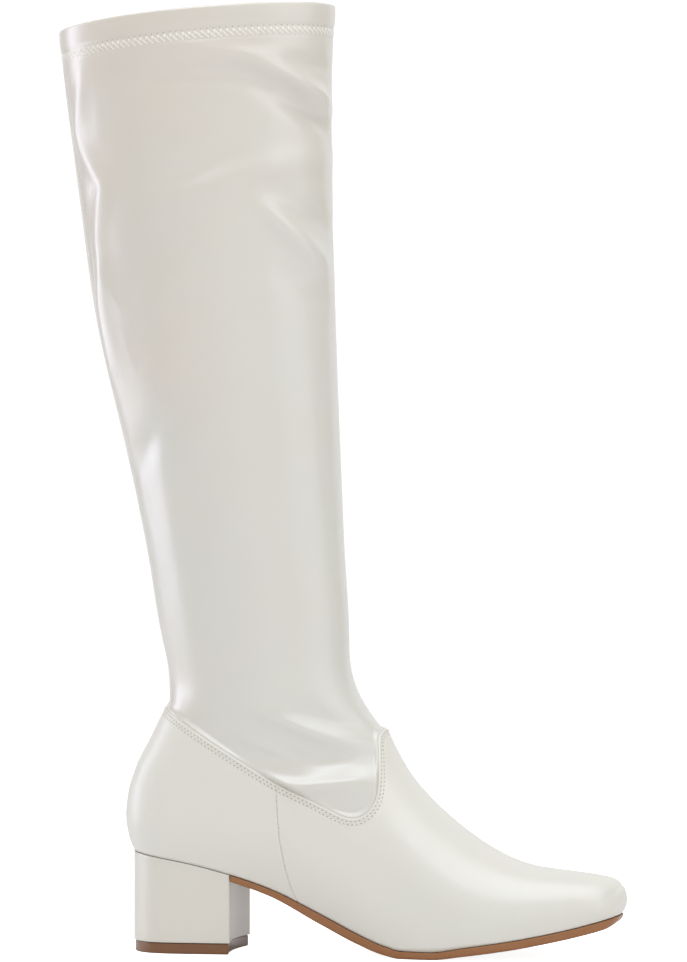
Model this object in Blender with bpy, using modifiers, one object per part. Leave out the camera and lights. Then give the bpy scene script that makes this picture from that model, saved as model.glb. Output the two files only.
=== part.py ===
"""Stretch knee boot for the right foot, with a covered block heel and a soft square toe.

The toe points along +X, the outer side of the foot faces -Y and the inner side faces +Y.
The tables are in millimetres, with x from the back of the heel seat and z from the floor.
"""
import bpy
import numpy as np

MM = 0.001

# Walls and clearances
UPPER_WALL = 1.6
SHAFT_WALL = 1.2
HEM_WALL = 2.2
HEM_DEPTH = 16.0
CLEARANCE = 0.3
TUCK_CLEARANCE = 0.4
TUCK_DEPTH = 8.0

# Middle and half sizes of the ankle ring, from which the leg's columns take their directions
ANKLE_MIDDLE = 72.0
ANKLE_HALF_LENGTH = 57.0
ANKLE_HALF_WIDTH = 33.0

# Heel, sole and insole
FOOT_LENGTH = 250.0
BREAST_X = 54.5
BREAST_HOLLOW = 2.7
LIFT_HEIGHT = 5.4
LIFT_INSET = 0.7
SOLE_OUTSET = 0.4
SOLE_EDGE_ROUND = 0.8
BALL_FLAT = (143.0, 158.0)
INSOLE_INSET = 2.6
INSOLE_THICK = 2.6
INSOLE_LIFT = 0.5

# Rounding of the two ends of the foot, as a radius and the power of a superellipse
HEEL_RADIUS = 26.0
HEEL_RADIUS_TOP = 38.0
HEEL_POWER = 2.35
TOE_RADIUS = 14.0
TOE_POWER = 2.5
HEEL_FADE = 70.0
TOE_FADE = 32.0

# Long profile of the bottom: seat is the line on which the upper stands, bottom is the tread
SOLE_COLUMNS = ("x", "bottom", "seat")
SOLE = (
    (-6.0, 49.4, 52.2),
    (0.0, 48.0, 51.2),
    (30.0, 43.0, 46.2),
    (54.0, 37.0, 40.3),
    (75.0, 29.6, 33.2),
    (100.0, 16.4, 21.4),
    (120.0, 6.6, 11.6),
    (134.0, 1.6, 6.0),
    (143.0, 0.0, 3.8),
    (158.0, 0.0, 3.6),
    (175.0, 1.9, 6.0),
    (200.0, 5.4, 9.7),
    (225.0, 10.2, 14.6),
    (240.0, 13.9, 18.4),
    (256.0, 18.6, 22.8),
)

# Plan of the bottom: half widths to each side of a centre line that swings to the inner side at the toe
PLAN_COLUMNS = ("x", "centre", "outer", "inner")
PLAN = (
    (-6.0, 0.0, 27.3, 27.3),
    (30.0, 0.0, 27.5, 27.2),
    (54.0, 0.0, 27.0, 26.0),
    (80.0, 0.0, 25.6, 22.8),
    (105.0, 0.2, 26.6, 21.8),
    (130.0, 0.8, 31.3, 25.2),
    (155.0, 1.6, 37.2, 32.6),
    (175.0, 2.3, 39.0, 36.6),
    (195.0, 2.9, 37.0, 36.0),
    (215.0, 3.4, 32.4, 31.6),
    (232.0, 3.8, 27.6, 26.6),
    (256.0, 4.2, 20.0, 19.0),
)

# Fullness of the upper: its widest half widths, how far up they lie,
# and how deep below the ridge it rounds off
GIRTH_COLUMNS = ("x", "outer", "inner", "level", "depth", "power")
GIRTH = (
    (-6.0, 30.8, 30.8, 0.36, 48.0, 2.0),
    (30.0, 31.6, 31.2, 0.38, 48.0, 2.0),
    (54.0, 33.0, 32.2, 0.46, 48.0, 2.0),
    (86.0, 33.8, 32.6, 0.60, 47.0, 2.0),
    (106.0, 34.0, 32.6, 0.58, 45.0, 2.0),
    (124.0, 35.4, 33.0, 0.50, 41.0, 2.0),
    (140.0, 37.4, 34.2, 0.42, 36.0, 2.0),
    (155.0, 40.0, 36.2, 0.36, 33.0, 2.0),
    (175.0, 41.6, 39.0, 0.33, 30.0, 2.05),
    (195.0, 39.4, 38.4, 0.34, 25.0, 2.15),
    (215.0, 34.8, 34.0, 0.36, 20.0, 2.3),
    (232.0, 30.0, 29.0, 0.38, 17.0, 2.4),
    (256.0, 22.6, 21.6, 0.42, 14.0, 2.4),
)

# Top edge of the upper from the back over the dip at the side to the peak on the instep
# Each row is a station line from foot_x on the bottom edge to a point on the top edge
TOPLINE_COLUMNS = ("foot_x", "edge_x", "edge_z")
TOPLINE = (
    (0.0, 16.4, 124.8),
    (12.0, 25.0, 120.2),
    (30.0, 40.0, 111.2),
    (54.0, 60.9, 98.4),
    (86.5, 80.6, 87.0),
    (105.0, 100.0, 77.8),
    (121.0, 115.0, 70.8),
    (132.0, 124.5, 72.2),
    (140.0, 129.6, 80.0),
    (147.0, 130.4, 90.0),
    (153.0, 129.6, 101.0),
    (157.0, 128.8, 110.0),
    (160.0, 130.0, 114.0),
)

# Ridge of the upper from the peak down the vamp to the top of the toe
RIDGE_COLUMNS = ("foot_x", "edge_x", "edge_z")
RIDGE = (
    (160.0, 130.0, 114.0),
    (165.0, 137.0, 99.6),
    (172.0, 147.8, 84.2),
    (184.0, 165.2, 67.4),
    (197.0, 183.6, 54.2),
    (210.0, 201.4, 46.2),
    (224.0, 218.8, 43.2),
    (237.5, 236.0, 41.1),
    (246.5, 246.4, 38.9),
    (250.0, 250.2, 35.6),
)

# Curve of the back of the heel and of the front of the toe, x at a height
BACK_CURVE_COLUMNS = ("z", "x")
BACK_CURVE = (
    (51.2, 0.0),
    (58.0, -2.6),
    (68.6, -4.1),
    (80.0, -3.1),
    (92.7, 0.6),
    (109.2, 8.9),
    (124.8, 16.4),
)
TOE_CURVE_COLUMNS = ("z", "x")
TOE_CURVE = (
    (21.2, 249.6),
    (24.5, 251.4),
    (28.0, 252.1),
    (32.0, 251.8),
    (35.6, 250.2),
)

# Rings of the leg from the ankle to the collar, each an oval between a back and a front point
LEG_COLUMNS = ("back_x", "back_z", "front_x", "front_z", "outer", "inner")
LEG = (
    (18.0, 134.0, 114.8, 133.6, 33.4, 32.8),
    (17.0, 146.0, 111.3, 146.6, 33.6, 33.0),
    (14.0, 160.0, 110.6, 162.0, 34.2, 33.6),
    (8.0, 195.0, 108.7, 196.0, 36.6, 36.0),
    (-1.0, 240.0, 106.6, 240.0, 40.2, 39.6),
    (-10.0, 280.0, 104.9, 280.0, 43.6, 43.2),
    (-19.9, 322.0, 103.4, 322.0, 46.4, 46.2),
    (-27.2, 371.0, 102.0, 371.0, 48.0, 48.0),
    (-33.3, 416.0, 101.5, 418.0, 48.0, 48.0),
    (-37.6, 449.0, 101.8, 456.0, 47.4, 47.4),
    (-39.8, 469.6, 103.2, 482.0, 46.8, 46.8),
)

# Mesh counts
HEEL_STEPS = 6
SIDE_STEPS = 15
RIDGE_STEPS = 11
TOE_STEPS = 5
LEVELS = 12
TUCK_STEPS = 1
ANKLE_STEPS = 4
SOLE_STEPS = 26
FRONT_SAMPLES = 260
SOLE_LANES = np.array([-1.0, -0.6, 0.0, 0.6, 1.0])


def column(table, columns, name):
    """One named column of a table."""
    return np.array([row[columns.index(name)] for row in table], float)


def smooth(keys, values, at):
    """Monotone cubic through the rows of a table: it keeps flat stretches flat."""
    keys, values, at = np.asarray(keys, float), np.asarray(values, float), np.asarray(at, float)
    step = np.diff(keys)
    rise = np.diff(values) / step
    slope = np.zeros_like(values)
    same = rise[:-1] * rise[1:] > 0
    weight_a, weight_b = 2 * step[1:] + step[:-1], step[1:] + 2 * step[:-1]
    with np.errstate(divide="ignore", invalid="ignore"):
        mean = (weight_a + weight_b) / (weight_a / rise[:-1] + weight_b / rise[1:])
    slope[1:-1] = np.where(same, mean, 0.0)
    slope[0], slope[-1] = rise[0], rise[-1]
    k = np.clip(np.searchsorted(keys, at) - 1, 0, len(keys) - 2)
    h = step[k]
    u = (at - keys[k]) / h
    return ((2 * u**3 - 3 * u**2 + 1) * values[k] + (u**3 - 2 * u**2 + u) * h * slope[k]
            + (3 * u**2 - 2 * u**3) * values[k + 1] + (u**3 - u**2) * h * slope[k + 1])


def spline(values, at):
    """Natural cubic through evenly numbered rows, read at fractional row numbers."""
    values = np.asarray(values, float)
    n = len(values)
    matrix = np.eye(n)
    right = np.zeros(n)
    for i in range(1, n - 1):
        matrix[i, i - 1:i + 2] = 1.0, 4.0, 1.0
        right[i] = 6.0 * (values[i - 1] - 2.0 * values[i] + values[i + 1])
    bend = np.linalg.solve(matrix, right)
    k = np.clip(np.floor(at).astype(int), 0, n - 2)
    u = at - k
    v = 1.0 - u
    return (v * values[k] + u * values[k + 1]
            + ((v**3 - v) * bend[k] + (u**3 - u) * bend[k + 1]) / 6.0)


def sole_line(x, name):
    """Height of the seat or of the tread at x."""
    return smooth(column(SOLE, SOLE_COLUMNS, "x"), column(SOLE, SOLE_COLUMNS, name), x)


def plan(x, name):
    """Centre line or half width of the bottom at x, before its ends are rounded."""
    return smooth(column(PLAN, PLAN_COLUMNS, "x"), column(PLAN, PLAN_COLUMNS, name), x)


def girth(x, name):
    """Fullness of the upper at x."""
    return smooth(column(GIRTH, GIRTH_COLUMNS, "x"), column(GIRTH, GIRTH_COLUMNS, name), x)


def end_round(distance, radius, power):
    """Share of the full width at a distance from a rounded end."""
    near = np.clip(1.0 - distance / radius, 0.0, 1.0)
    return (1.0 - near**power) ** (1.0 / power)


def half_plan(x, side, grow=0.0):
    """Half width of the bottom outline at x on one side, grown or shrunk by an even margin."""
    full = plan(x, "outer" if side < 0 else "inner") + grow
    heel = end_round(x + grow, HEEL_RADIUS + grow, HEEL_POWER)
    toe = end_round(FOOT_LENGTH + grow - x, TOE_RADIUS + grow, TOE_POWER)
    return full * heel * toe


def foot_stations():
    """Row numbers of the stations along the top line, then along the ridge, closer at both ends."""
    top_last, ridge_last = len(TOPLINE) - 1, len(RIDGE) - 1
    heel = 2.0 * np.linspace(0.0, 1.0, HEEL_STEPS + 1) ** 2
    side = np.linspace(2.0, top_last, SIDE_STEPS + 1)[1:]
    ridge = np.linspace(0.0, ridge_last - 2.0, RIDGE_STEPS + 1)[1:]
    toe = ridge_last - 2.0 * (1.0 - np.linspace(0.0, 1.0, TOE_STEPS + 1)[1:]) ** 2
    return np.concatenate([heel, side]), np.concatenate([ridge, toe])


def station_values(name):
    """One column of the top line and ridge tables, read at every station."""
    top, ridge = foot_stations()
    return np.concatenate([spline(column(TOPLINE, TOPLINE_COLUMNS, name), top),
                           spline(column(RIDGE, RIDGE_COLUMNS, name), ridge)])


def bow_of(curve, columns, t):
    """How far a curved end of the foot stands off the straight line between its two end points."""
    z, x = column(curve, columns, "z"), column(curve, columns, "x")
    return smooth(z, x, z[0] + t * (z[-1] - z[0])) - (1.0 - t) * x[0] - t * x[-1]


def front_line():
    """Side outline from the top of the toe up the vamp and the instep to the shin, as a fine line."""
    ridge_x, ridge_z = column(RIDGE, RIDGE_COLUMNS, "edge_x"), column(RIDGE, RIDGE_COLUMNS, "edge_z")
    shin_x, shin_z = column(LEG, LEG_COLUMNS, "front_x"), column(LEG, LEG_COLUMNS, "front_z")
    x = np.concatenate([ridge_x[::-1], shin_x[:4]])
    z = np.concatenate([ridge_z[::-1], shin_z[:4]])
    at = np.linspace(0.0, len(x) - 1.0, FRONT_SAMPLES)
    return np.stack([spline(x, at), spline(z, at)], -1)


def below_front(x, z):
    """Distance in the side view from points to the nearest place on the front line."""
    line = front_line()
    start, run = line[:-1], np.diff(line, axis=0)
    away = np.stack([x, z], -1)[..., None, :] - start
    share = np.clip((away * run).sum(-1) / (run * run).sum(-1), 0.0, 1.0)
    return np.linalg.norm(away - share[..., None] * run, axis=-1).min(-1)


def foot_side(side, depth=None):
    """Outer face of one side of the upper as a grid of stations and levels.

    Each station is a line from the bottom edge to the top line or the ridge. The half width swells from the
    bottom outline to the girth and rounds off towards the front line, the heel and the toe.
    A depth gives only the points that far below the top edge.
    """
    name = "outer" if side < 0 else "inner"
    top_count = len(foot_stations()[0])
    foot_x = np.clip(station_values("foot_x"), 0.0, FOOT_LENGTH)
    edge_x, edge_z = station_values("edge_x"), station_values("edge_z")
    low_z = sole_line(foot_x, "seat") + CLEARANCE
    if depth is None:
        even = np.linspace(0.0, 1.0, LEVELS + 1)[None, :]
        close = np.clip((foot_x - TOPLINE[-4][0]) / (TOPLINE[-1][0] - TOPLINE[-4][0]), 0.0, 1.0)[:, None]
        t = (1.0 - close) * even + close * np.sin(0.5 * np.pi * even)
    else:
        t = 1.0 - depth / np.hypot(edge_x - foot_x, edge_z - low_z)[:, None]

    x = (1.0 - t) * foot_x[:, None] + t * edge_x[:, None]
    z = (1.0 - t) * low_z[:, None] + t * edge_z[:, None]
    heel_fade = np.clip(1.0 - foot_x / HEEL_FADE, 0.0, 1.0)[:, None] ** 2
    toe_fade = np.clip(1.0 - (FOOT_LENGTH - foot_x) / TOE_FADE, 0.0, 1.0)[:, None] ** 2
    x = x + heel_fade * bow_of(BACK_CURVE, BACK_CURVE_COLUMNS, t)
    x = x + toe_fade * bow_of(TOE_CURVE, TOE_CURVE_COLUMNS, t)

    swell = 1.0 - (1.0 - np.clip(t / girth(foot_x, "level")[:, None], 0.0, 1.0)) ** 2
    low = plan(foot_x, name)[:, None]
    half = low + (girth(x, name) - low) * swell
    half = half * end_round(below_front(x, z), girth(x, "depth"), girth(x, "power"))
    radius = HEEL_RADIUS + (HEEL_RADIUS_TOP - HEEL_RADIUS) * t**2
    half = half * end_round(x - x[:1], radius, HEEL_POWER) * end_round(x[-1:] - x, TOE_RADIUS, TOE_POWER)
    if depth is None:
        half[top_count - 1:, -1] = 0.0
    return np.stack([x, plan(x, "centre") + side * half, z], -1), top_count


def edge_ring(depth):
    """Closed ring on the upper's outer face, a depth below its top edge and down the ridge at the front."""
    outer, top_count = foot_side(-1, depth)
    inner, top_count = foot_side(1, depth)
    ring = np.concatenate([outer[:top_count], inner[top_count - 2:0:-1]])[:, 0]
    ridge_x, ridge_z = column(RIDGE, RIDGE_COLUMNS, "edge_x"), column(RIDGE, RIDGE_COLUMNS, "edge_z")
    share = depth / np.hypot(ridge_x[1] - ridge_x[0], ridge_z[1] - ridge_z[0])
    front_x, front_z = spline(ridge_x, np.array([share]))[0], spline(ridge_z, np.array([share]))[0]
    ring[top_count - 1] = front_x, plan(front_x, "centre"), front_z
    return ring


def leg_keys():
    """Key rings of the leg's outer face, from the tuck under the upper's top edge up to the collar."""
    edge, tuck = edge_ring(0.0), edge_ring(TUCK_DEPTH)
    inset = UPPER_WALL + TUCK_CLEARANCE
    keys = []
    for ring in (tuck, edge):
        normal = np.cross(np.roll(ring, -1, 0) - np.roll(ring, 1, 0), edge - tuck)
        keys.append(ring - inset * normal / np.linalg.norm(normal, axis=1, keepdims=True))
    turn = np.arctan2(edge[:, 1] / ANKLE_HALF_WIDTH, (edge[:, 0] - ANKLE_MIDDLE) / ANKLE_HALF_LENGTH)
    forward = 0.5 * (1.0 + np.cos(turn))
    for row in LEG:
        back_x, back_z, front_x, front_z, outer, inner = row
        half = np.where(turn < 0.0, outer, inner)
        keys.append(np.stack([back_x + (front_x - back_x) * forward, half * np.sin(turn),
                              back_z + (front_z - back_z) * forward], -1))
    return np.stack(keys)


def loft(keys, counts):
    """Smooth rows through key rings, with chord lengths as the parameter of each column."""
    chord = np.linalg.norm(np.diff(keys, axis=0), axis=-1, keepdims=True)
    slope = np.diff(keys, axis=0) / chord
    tangent = np.empty_like(keys)
    tangent[1:-1] = (slope[:-1] * chord[1:] + slope[1:] * chord[:-1]) / (chord[1:] + chord[:-1])
    tangent[0], tangent[-1] = slope[0], slope[-1]
    rows = [keys[0]]
    for i, count in enumerate(counts):
        for u in np.linspace(0.0, 1.0, count + 1)[1:]:
            rows.append((2 * u**3 - 3 * u**2 + 1) * keys[i] + (u**3 - 2 * u**2 + u) * chord[i] * tangent[i]
                        + (3 * u**2 - 2 * u**3) * keys[i + 1] + (u**3 - u**2) * chord[i] * tangent[i + 1])
    return np.stack(rows)


def grid_faces(rows, columns, first=0, closed=False):
    """Quads of a grid numbered row by row; closed joins the last column to the first."""
    faces = []
    for i in range(rows - 1):
        for j in range(columns if closed else columns - 1):
            k = (j + 1) % columns
            faces.append((first + i * columns + j, first + i * columns + k,
                          first + (i + 1) * columns + k, first + (i + 1) * columns + j))
    return faces


def material(name, colour, roughness, metallic=0.0):
    """Principled material with a plain colour."""
    made = bpy.data.materials.new(name)
    made.use_nodes = True
    shader = made.node_tree.nodes["Principled BSDF"]
    shader.inputs["Base Color"].default_value = (*colour, 1.0)
    shader.inputs["Roughness"].default_value = roughness
    shader.inputs["Metallic"].default_value = metallic
    return made


def piece(name, points, faces, look, round_faces=True):
    """Named mesh object under the boot's stand, with doubled points welded."""
    mesh = bpy.data.meshes.new(name)
    mesh.from_pydata((np.asarray(points).reshape(-1, 3) * MM).tolist(), [], faces)
    mesh.validate()
    mesh.polygons.foreach_set("use_smooth", [round_faces] * len(mesh.polygons))
    mesh.materials.append(look)
    made = bpy.data.objects.new(name, mesh)
    boot.objects.link(made)
    made.parent = stand
    return made


def weld(made):
    """Weld modifier that joins the two sides of a piece."""
    join = made.modifiers.new("weld", "WELD")
    join.merge_threshold = 0.00002


def shell(made, wall, group=None, thin=1.0):
    """Solidify modifier that gives an outer face its wall, on the inside."""
    wall_made = made.modifiers.new("wall", "SOLIDIFY")
    wall_made.thickness = wall * MM
    wall_made.offset = -1.0
    wall_made.use_even_offset = True
    if group:
        wall_made.vertex_group = group
        wall_made.thickness_vertex_group = thin


def slab(name, upper_face, lower_face, edge_rings, look):
    """Solid between two grids of the same layout, with rings of points down its edge between them."""
    rows, lanes = upper_face.shape[:2]
    rim = [(i, 0) for i in range(rows)] + [(rows - 1, j) for j in range(1, lanes)]
    rim += [(i, lanes - 1) for i in range(rows - 2, -1, -1)] + [(0, j) for j in range(lanes - 2, 0, -1)]
    count = rows * lanes
    points = [upper_face.reshape(-1, 3), lower_face.reshape(-1, 3)]
    loops = [[i * lanes + j for i, j in rim]]
    for index, ring in enumerate(edge_rings):
        points.append(np.array([ring[i, j] for i, j in rim]))
        loops.append([2 * count + index * len(rim) + k for k in range(len(rim))])
    loops.append([count + i * lanes + j for i, j in rim])
    faces = [face[::-1] for face in grid_faces(rows, lanes)] + grid_faces(rows, lanes, count)
    for above, below in zip(loops[:-1], loops[1:]):
        for k in range(len(rim)):
            n = (k + 1) % len(rim)
            faces.append((above[k], below[k], below[n], above[n]))
    made = piece(name, np.concatenate(points), faces, look, False)
    weld(made)
    return made


def breast_x(lane):
    """Hollow front of the heel, as x across its lanes."""
    return BREAST_X - BREAST_HOLLOW * (1.0 - lane**2)


def plan_grid(x_lines, grow):
    """Grid over the bottom outline: rows along the foot, lanes across it."""
    lane = SOLE_LANES[None, :]
    centre = plan(x_lines, "centre")
    outer, inner = half_plan(x_lines, -1, grow), half_plan(x_lines, 1, grow)
    y = centre + np.where(lane < 0.0, lane * outer, lane * inner)
    return x_lines, y


def at_height(x, y, z):
    """Points of a plan grid at a height."""
    return np.stack(np.broadcast_arrays(x, y, z), -1)


def end_spread(first, last, count, first_close, last_close):
    """Even steps that draw closer to the ends that are marked."""
    u = np.linspace(0.0, 1.0, count + 1)
    if first_close and last_close:
        u = 0.5 - 0.5 * np.cos(np.pi * u)
    elif first_close:
        u = 1.0 - np.cos(0.5 * np.pi * u)
    elif last_close:
        u = np.sin(0.5 * np.pi * u)
    return first + (last - first) * u


def make_upper():
    """Foot part: two sides joined along the heel, the toe and the ridge."""
    outer, top_count = foot_side(-1)
    inner, top_count = foot_side(1)
    rows, levels = outer.shape[:2]
    faces = [face[::-1] for face in grid_faces(rows, levels)]
    faces += grid_faces(rows, levels, rows * levels)
    made = piece("upper", np.concatenate([outer, inner]), faces, ivory_leather)
    weld(made)
    shell(made, UPPER_WALL)


def make_shaft():
    """Leg: a tube through the ankle rings, tucked under the upper, with a thicker hem at the collar."""
    keys = leg_keys()
    counts = [TUCK_STEPS, ANKLE_STEPS] + [1, 1, 2, 2, 2, 2, 2, 2, 1]
    body = loft(keys[:-1], counts)
    down = keys[-2] - keys[-1]
    hem_foot = keys[-1] + HEM_DEPTH * down / np.linalg.norm(down, axis=1, keepdims=True)
    rows = np.concatenate([body, hem_foot[None], keys[-1:]])
    columns = rows.shape[1]
    faces = grid_faces(len(rows), columns, 0, True)
    made = piece("shaft", rows, faces, ivory_stretch)
    hem = made.vertex_groups.new(name="hem")
    hem.add(list(range((len(rows) - 2) * columns, len(rows) * columns)), 1.0, "REPLACE")
    shell(made, HEM_WALL, "hem", SHAFT_WALL / HEM_WALL)


def make_outsole():
    """Outsole from the heel breast to the toe, with a flat tread under the ball.

    Its lines across the foot lie under the upper's stations, so that the two meet evenly.
    """
    lines = np.clip(station_values("foot_x"), 0.0, FOOT_LENGTH)
    lines = lines[(lines > BREAST_X + 3.0) & (np.abs(lines[:, None] - np.array(BALL_FLAT)).min(1) > 1.0)]
    lines = np.sort(np.concatenate([[BREAST_X], lines, BALL_FLAT]))
    lines[-1] += SOLE_OUTSET
    x = np.repeat(lines[:, None], len(SOLE_LANES), 1)
    x[0] = breast_x(SOLE_LANES) + CLEARANCE
    x, y = plan_grid(x, SOLE_OUTSET)
    x_low, y_low = plan_grid(np.minimum(x, FOOT_LENGTH - SOLE_EDGE_ROUND), -SOLE_EDGE_ROUND)
    seat, tread = sole_line(x, "seat"), sole_line(x, "bottom")
    slab("outsole", at_height(x, y, seat), at_height(x_low, y_low, sole_line(x_low, "bottom")),
         [at_height(x, y, 0.35 * seat + 0.65 * tread)], tan_rubber)


def heel_grid(grow, front):
    """Plan grid of the heel, rounded at the back and hollow at the breast."""
    share = end_spread(0.0, 1.0, 9, True, False)[:, None]
    last = breast_x(SOLE_LANES[None, :]) - front
    x = -grow + (last + grow) * share
    return plan_grid(x, grow)


def make_heel():
    """Covered block heel under the slanted seat."""
    x, y = heel_grid(0.0, 0.0)
    seat = at_height(x, y, sole_line(x, "seat"))
    slab("heel", seat, at_height(x, y, LIFT_HEIGHT + CLEARANCE), [], heel_cover)


def make_top_lift():
    """Top lift under the heel, a little smaller than it."""
    x, y = heel_grid(-LIFT_INSET, LIFT_INSET)
    slab("top_lift", at_height(x, y, LIFT_HEIGHT), at_height(x, y, 0.0), [], brown_rubber)


def make_insole():
    """Insole that lies on the sole and the heel inside the upper."""
    lines = end_spread(INSOLE_INSET, FOOT_LENGTH - INSOLE_INSET, SOLE_STEPS, True, True)
    x, y = plan_grid(np.repeat(lines[:, None], len(SOLE_LANES), 1), -INSOLE_INSET)
    low = sole_line(x, "seat") + INSOLE_LIFT
    slab("insole", at_height(x, y, low + INSOLE_THICK), at_height(x, y, low), [], insole_cloth)


for old in list(bpy.data.objects):
    bpy.data.objects.remove(old, do_unlink=True)

boot = bpy.data.collections.new("stretch_boot")
bpy.context.scene.collection.children.link(boot)
stand = bpy.data.objects.new("stand", None)
boot.objects.link(stand)

ivory_leather = material("ivory leather", (0.76, 0.74, 0.70), 0.38)
ivory_stretch = material("ivory stretch leather", (0.70, 0.67, 0.62), 0.42)
heel_cover = material("heel cover", (0.74, 0.72, 0.68), 0.40)
tan_rubber = material("tan sole", (0.33, 0.15, 0.05), 0.50)
brown_rubber = material("brown top lift", (0.19, 0.09, 0.045), 0.35)
insole_cloth = material("insole cloth", (0.62, 0.58, 0.52), 0.85)

make_upper()
make_shaft()
make_outsole()
make_heel()
make_top_lift()
make_insole()

# The origin is the middle of the boot's box on the floor
bpy.context.view_layer.update()
solids = [made for made in boot.objects if made.type == "MESH"]
box = np.array([tuple(vertex.co) for made in solids for vertex in made.data.vertices])
middle = 0.5 * (box.min(0) + box.max(0))
stand.location = (-middle[0], -middle[1], 0.0)
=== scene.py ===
"""Looks of a stretch knee boot for the right foot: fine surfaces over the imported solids, with seams,
stitches and finishes.

Shapes are worked out in the boot's own millimetres, with x from the back of the heel seat towards the toe,
y towards the inner side of the foot and z from the floor. The tables repeat those of the solids.
"""
import math

import bmesh
import bpy
import numpy as np
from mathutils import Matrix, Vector


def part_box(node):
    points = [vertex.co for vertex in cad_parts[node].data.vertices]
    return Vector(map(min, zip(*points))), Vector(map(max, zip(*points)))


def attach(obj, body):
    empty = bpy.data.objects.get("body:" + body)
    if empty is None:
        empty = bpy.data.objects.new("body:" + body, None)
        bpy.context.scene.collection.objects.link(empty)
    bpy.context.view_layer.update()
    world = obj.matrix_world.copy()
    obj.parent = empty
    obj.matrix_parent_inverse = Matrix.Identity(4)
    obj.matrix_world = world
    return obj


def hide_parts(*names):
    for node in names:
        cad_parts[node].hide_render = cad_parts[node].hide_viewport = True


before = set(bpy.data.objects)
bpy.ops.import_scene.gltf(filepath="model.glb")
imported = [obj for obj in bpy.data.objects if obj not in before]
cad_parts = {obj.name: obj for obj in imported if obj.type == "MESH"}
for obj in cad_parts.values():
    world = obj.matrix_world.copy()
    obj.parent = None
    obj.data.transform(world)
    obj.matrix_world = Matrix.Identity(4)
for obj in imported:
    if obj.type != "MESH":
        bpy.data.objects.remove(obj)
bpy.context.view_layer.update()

MM = 0.001

# Walls, clearances and ends of the foot, as in the solids
UPPER_WALL = 1.6
SHAFT_WALL = 1.2
HEM_WALL = 2.2
HEM_DEPTH = 16.0
CLEARANCE = 0.3
COLLAR_ARC = 1.6
TUCK_CLEARANCE = 0.4
TUCK_DEPTH = 8.0
ANKLE_MIDDLE = 72.0
ANKLE_HALF_LENGTH = 57.0
ANKLE_HALF_WIDTH = 33.0
FOOT_LENGTH = 250.0
BREAST_X = 54.5
BREAST_HOLLOW = 2.7
LIFT_HEIGHT = 5.4
LIFT_INSET = 0.7
SOLE_OUTSET = 0.4
TIP_ROUND = 7.0
INSOLE_INSET = 2.6
INSOLE_THICK = 2.6
INSOLE_LIFT = 0.5
HEEL_RADIUS = 26.0
HEEL_RADIUS_TOP = 38.0
HEEL_POWER = 2.35
TOE_RADIUS = 14.0
TOE_POWER = 2.5
HEEL_FADE = 70.0
TOE_FADE = 32.0


def table(names, rows):
    """Columns of a table by their names."""
    return dict(zip(names.split(), np.array(rows, float).T))


# Long profile of the bottom: seat is the line on which the upper stands, bottom is the tread
SOLE = table("x bottom seat", (
    (-6.0, 49.4, 52.2),
    (0.0, 48.0, 51.2),
    (30.0, 43.0, 46.2),
    (54.0, 37.0, 40.3),
    (75.0, 29.6, 33.2),
    (100.0, 16.4, 21.4),
    (120.0, 6.6, 11.6),
    (134.0, 1.6, 6.0),
    (143.0, 0.0, 3.8),
    (158.0, 0.0, 3.6),
    (175.0, 1.9, 6.0),
    (200.0, 5.4, 9.7),
    (225.0, 10.2, 14.6),
    (240.0, 13.9, 18.4),
    (256.0, 18.6, 22.8),
))

# Plan of the bottom: half widths to each side of a centre line that swings to the inner side at the toe
PLAN = table("x centre outer inner", (
    (-6.0, 0.0, 27.3, 27.3),
    (30.0, 0.0, 27.5, 27.2),
    (54.0, 0.0, 27.0, 26.0),
    (80.0, 0.0, 25.6, 22.8),
    (105.0, 0.2, 26.6, 21.8),
    (130.0, 0.8, 31.3, 25.2),
    (155.0, 1.6, 37.2, 32.6),
    (175.0, 2.3, 39.0, 36.6),
    (195.0, 2.9, 37.0, 36.0),
    (215.0, 3.4, 32.4, 31.6),
    (232.0, 3.8, 27.6, 26.6),
    (256.0, 4.2, 20.0, 19.0),
))

# Fullness of the upper: its widest half widths, how far up they lie,
# and how deep below the ridge it rounds off
GIRTH = table("x outer inner level depth power", (
    (-6.0, 30.8, 30.8, 0.36, 48.0, 2.0),
    (30.0, 31.6, 31.2, 0.38, 48.0, 2.0),
    (54.0, 33.0, 32.2, 0.46, 48.0, 2.0),
    (86.0, 33.8, 32.6, 0.60, 47.0, 2.0),
    (106.0, 34.0, 32.6, 0.58, 45.0, 2.0),
    (124.0, 35.4, 33.0, 0.50, 41.0, 2.0),
    (140.0, 37.4, 34.2, 0.42, 36.0, 2.0),
    (155.0, 40.0, 36.2, 0.36, 33.0, 2.0),
    (175.0, 41.6, 39.0, 0.33, 30.0, 2.05),
    (195.0, 39.4, 38.4, 0.34, 25.0, 2.15),
    (215.0, 34.8, 34.0, 0.36, 20.0, 2.3),
    (232.0, 30.0, 29.0, 0.38, 17.0, 2.4),
    (256.0, 22.6, 21.6, 0.42, 14.0, 2.4),
))

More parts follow.
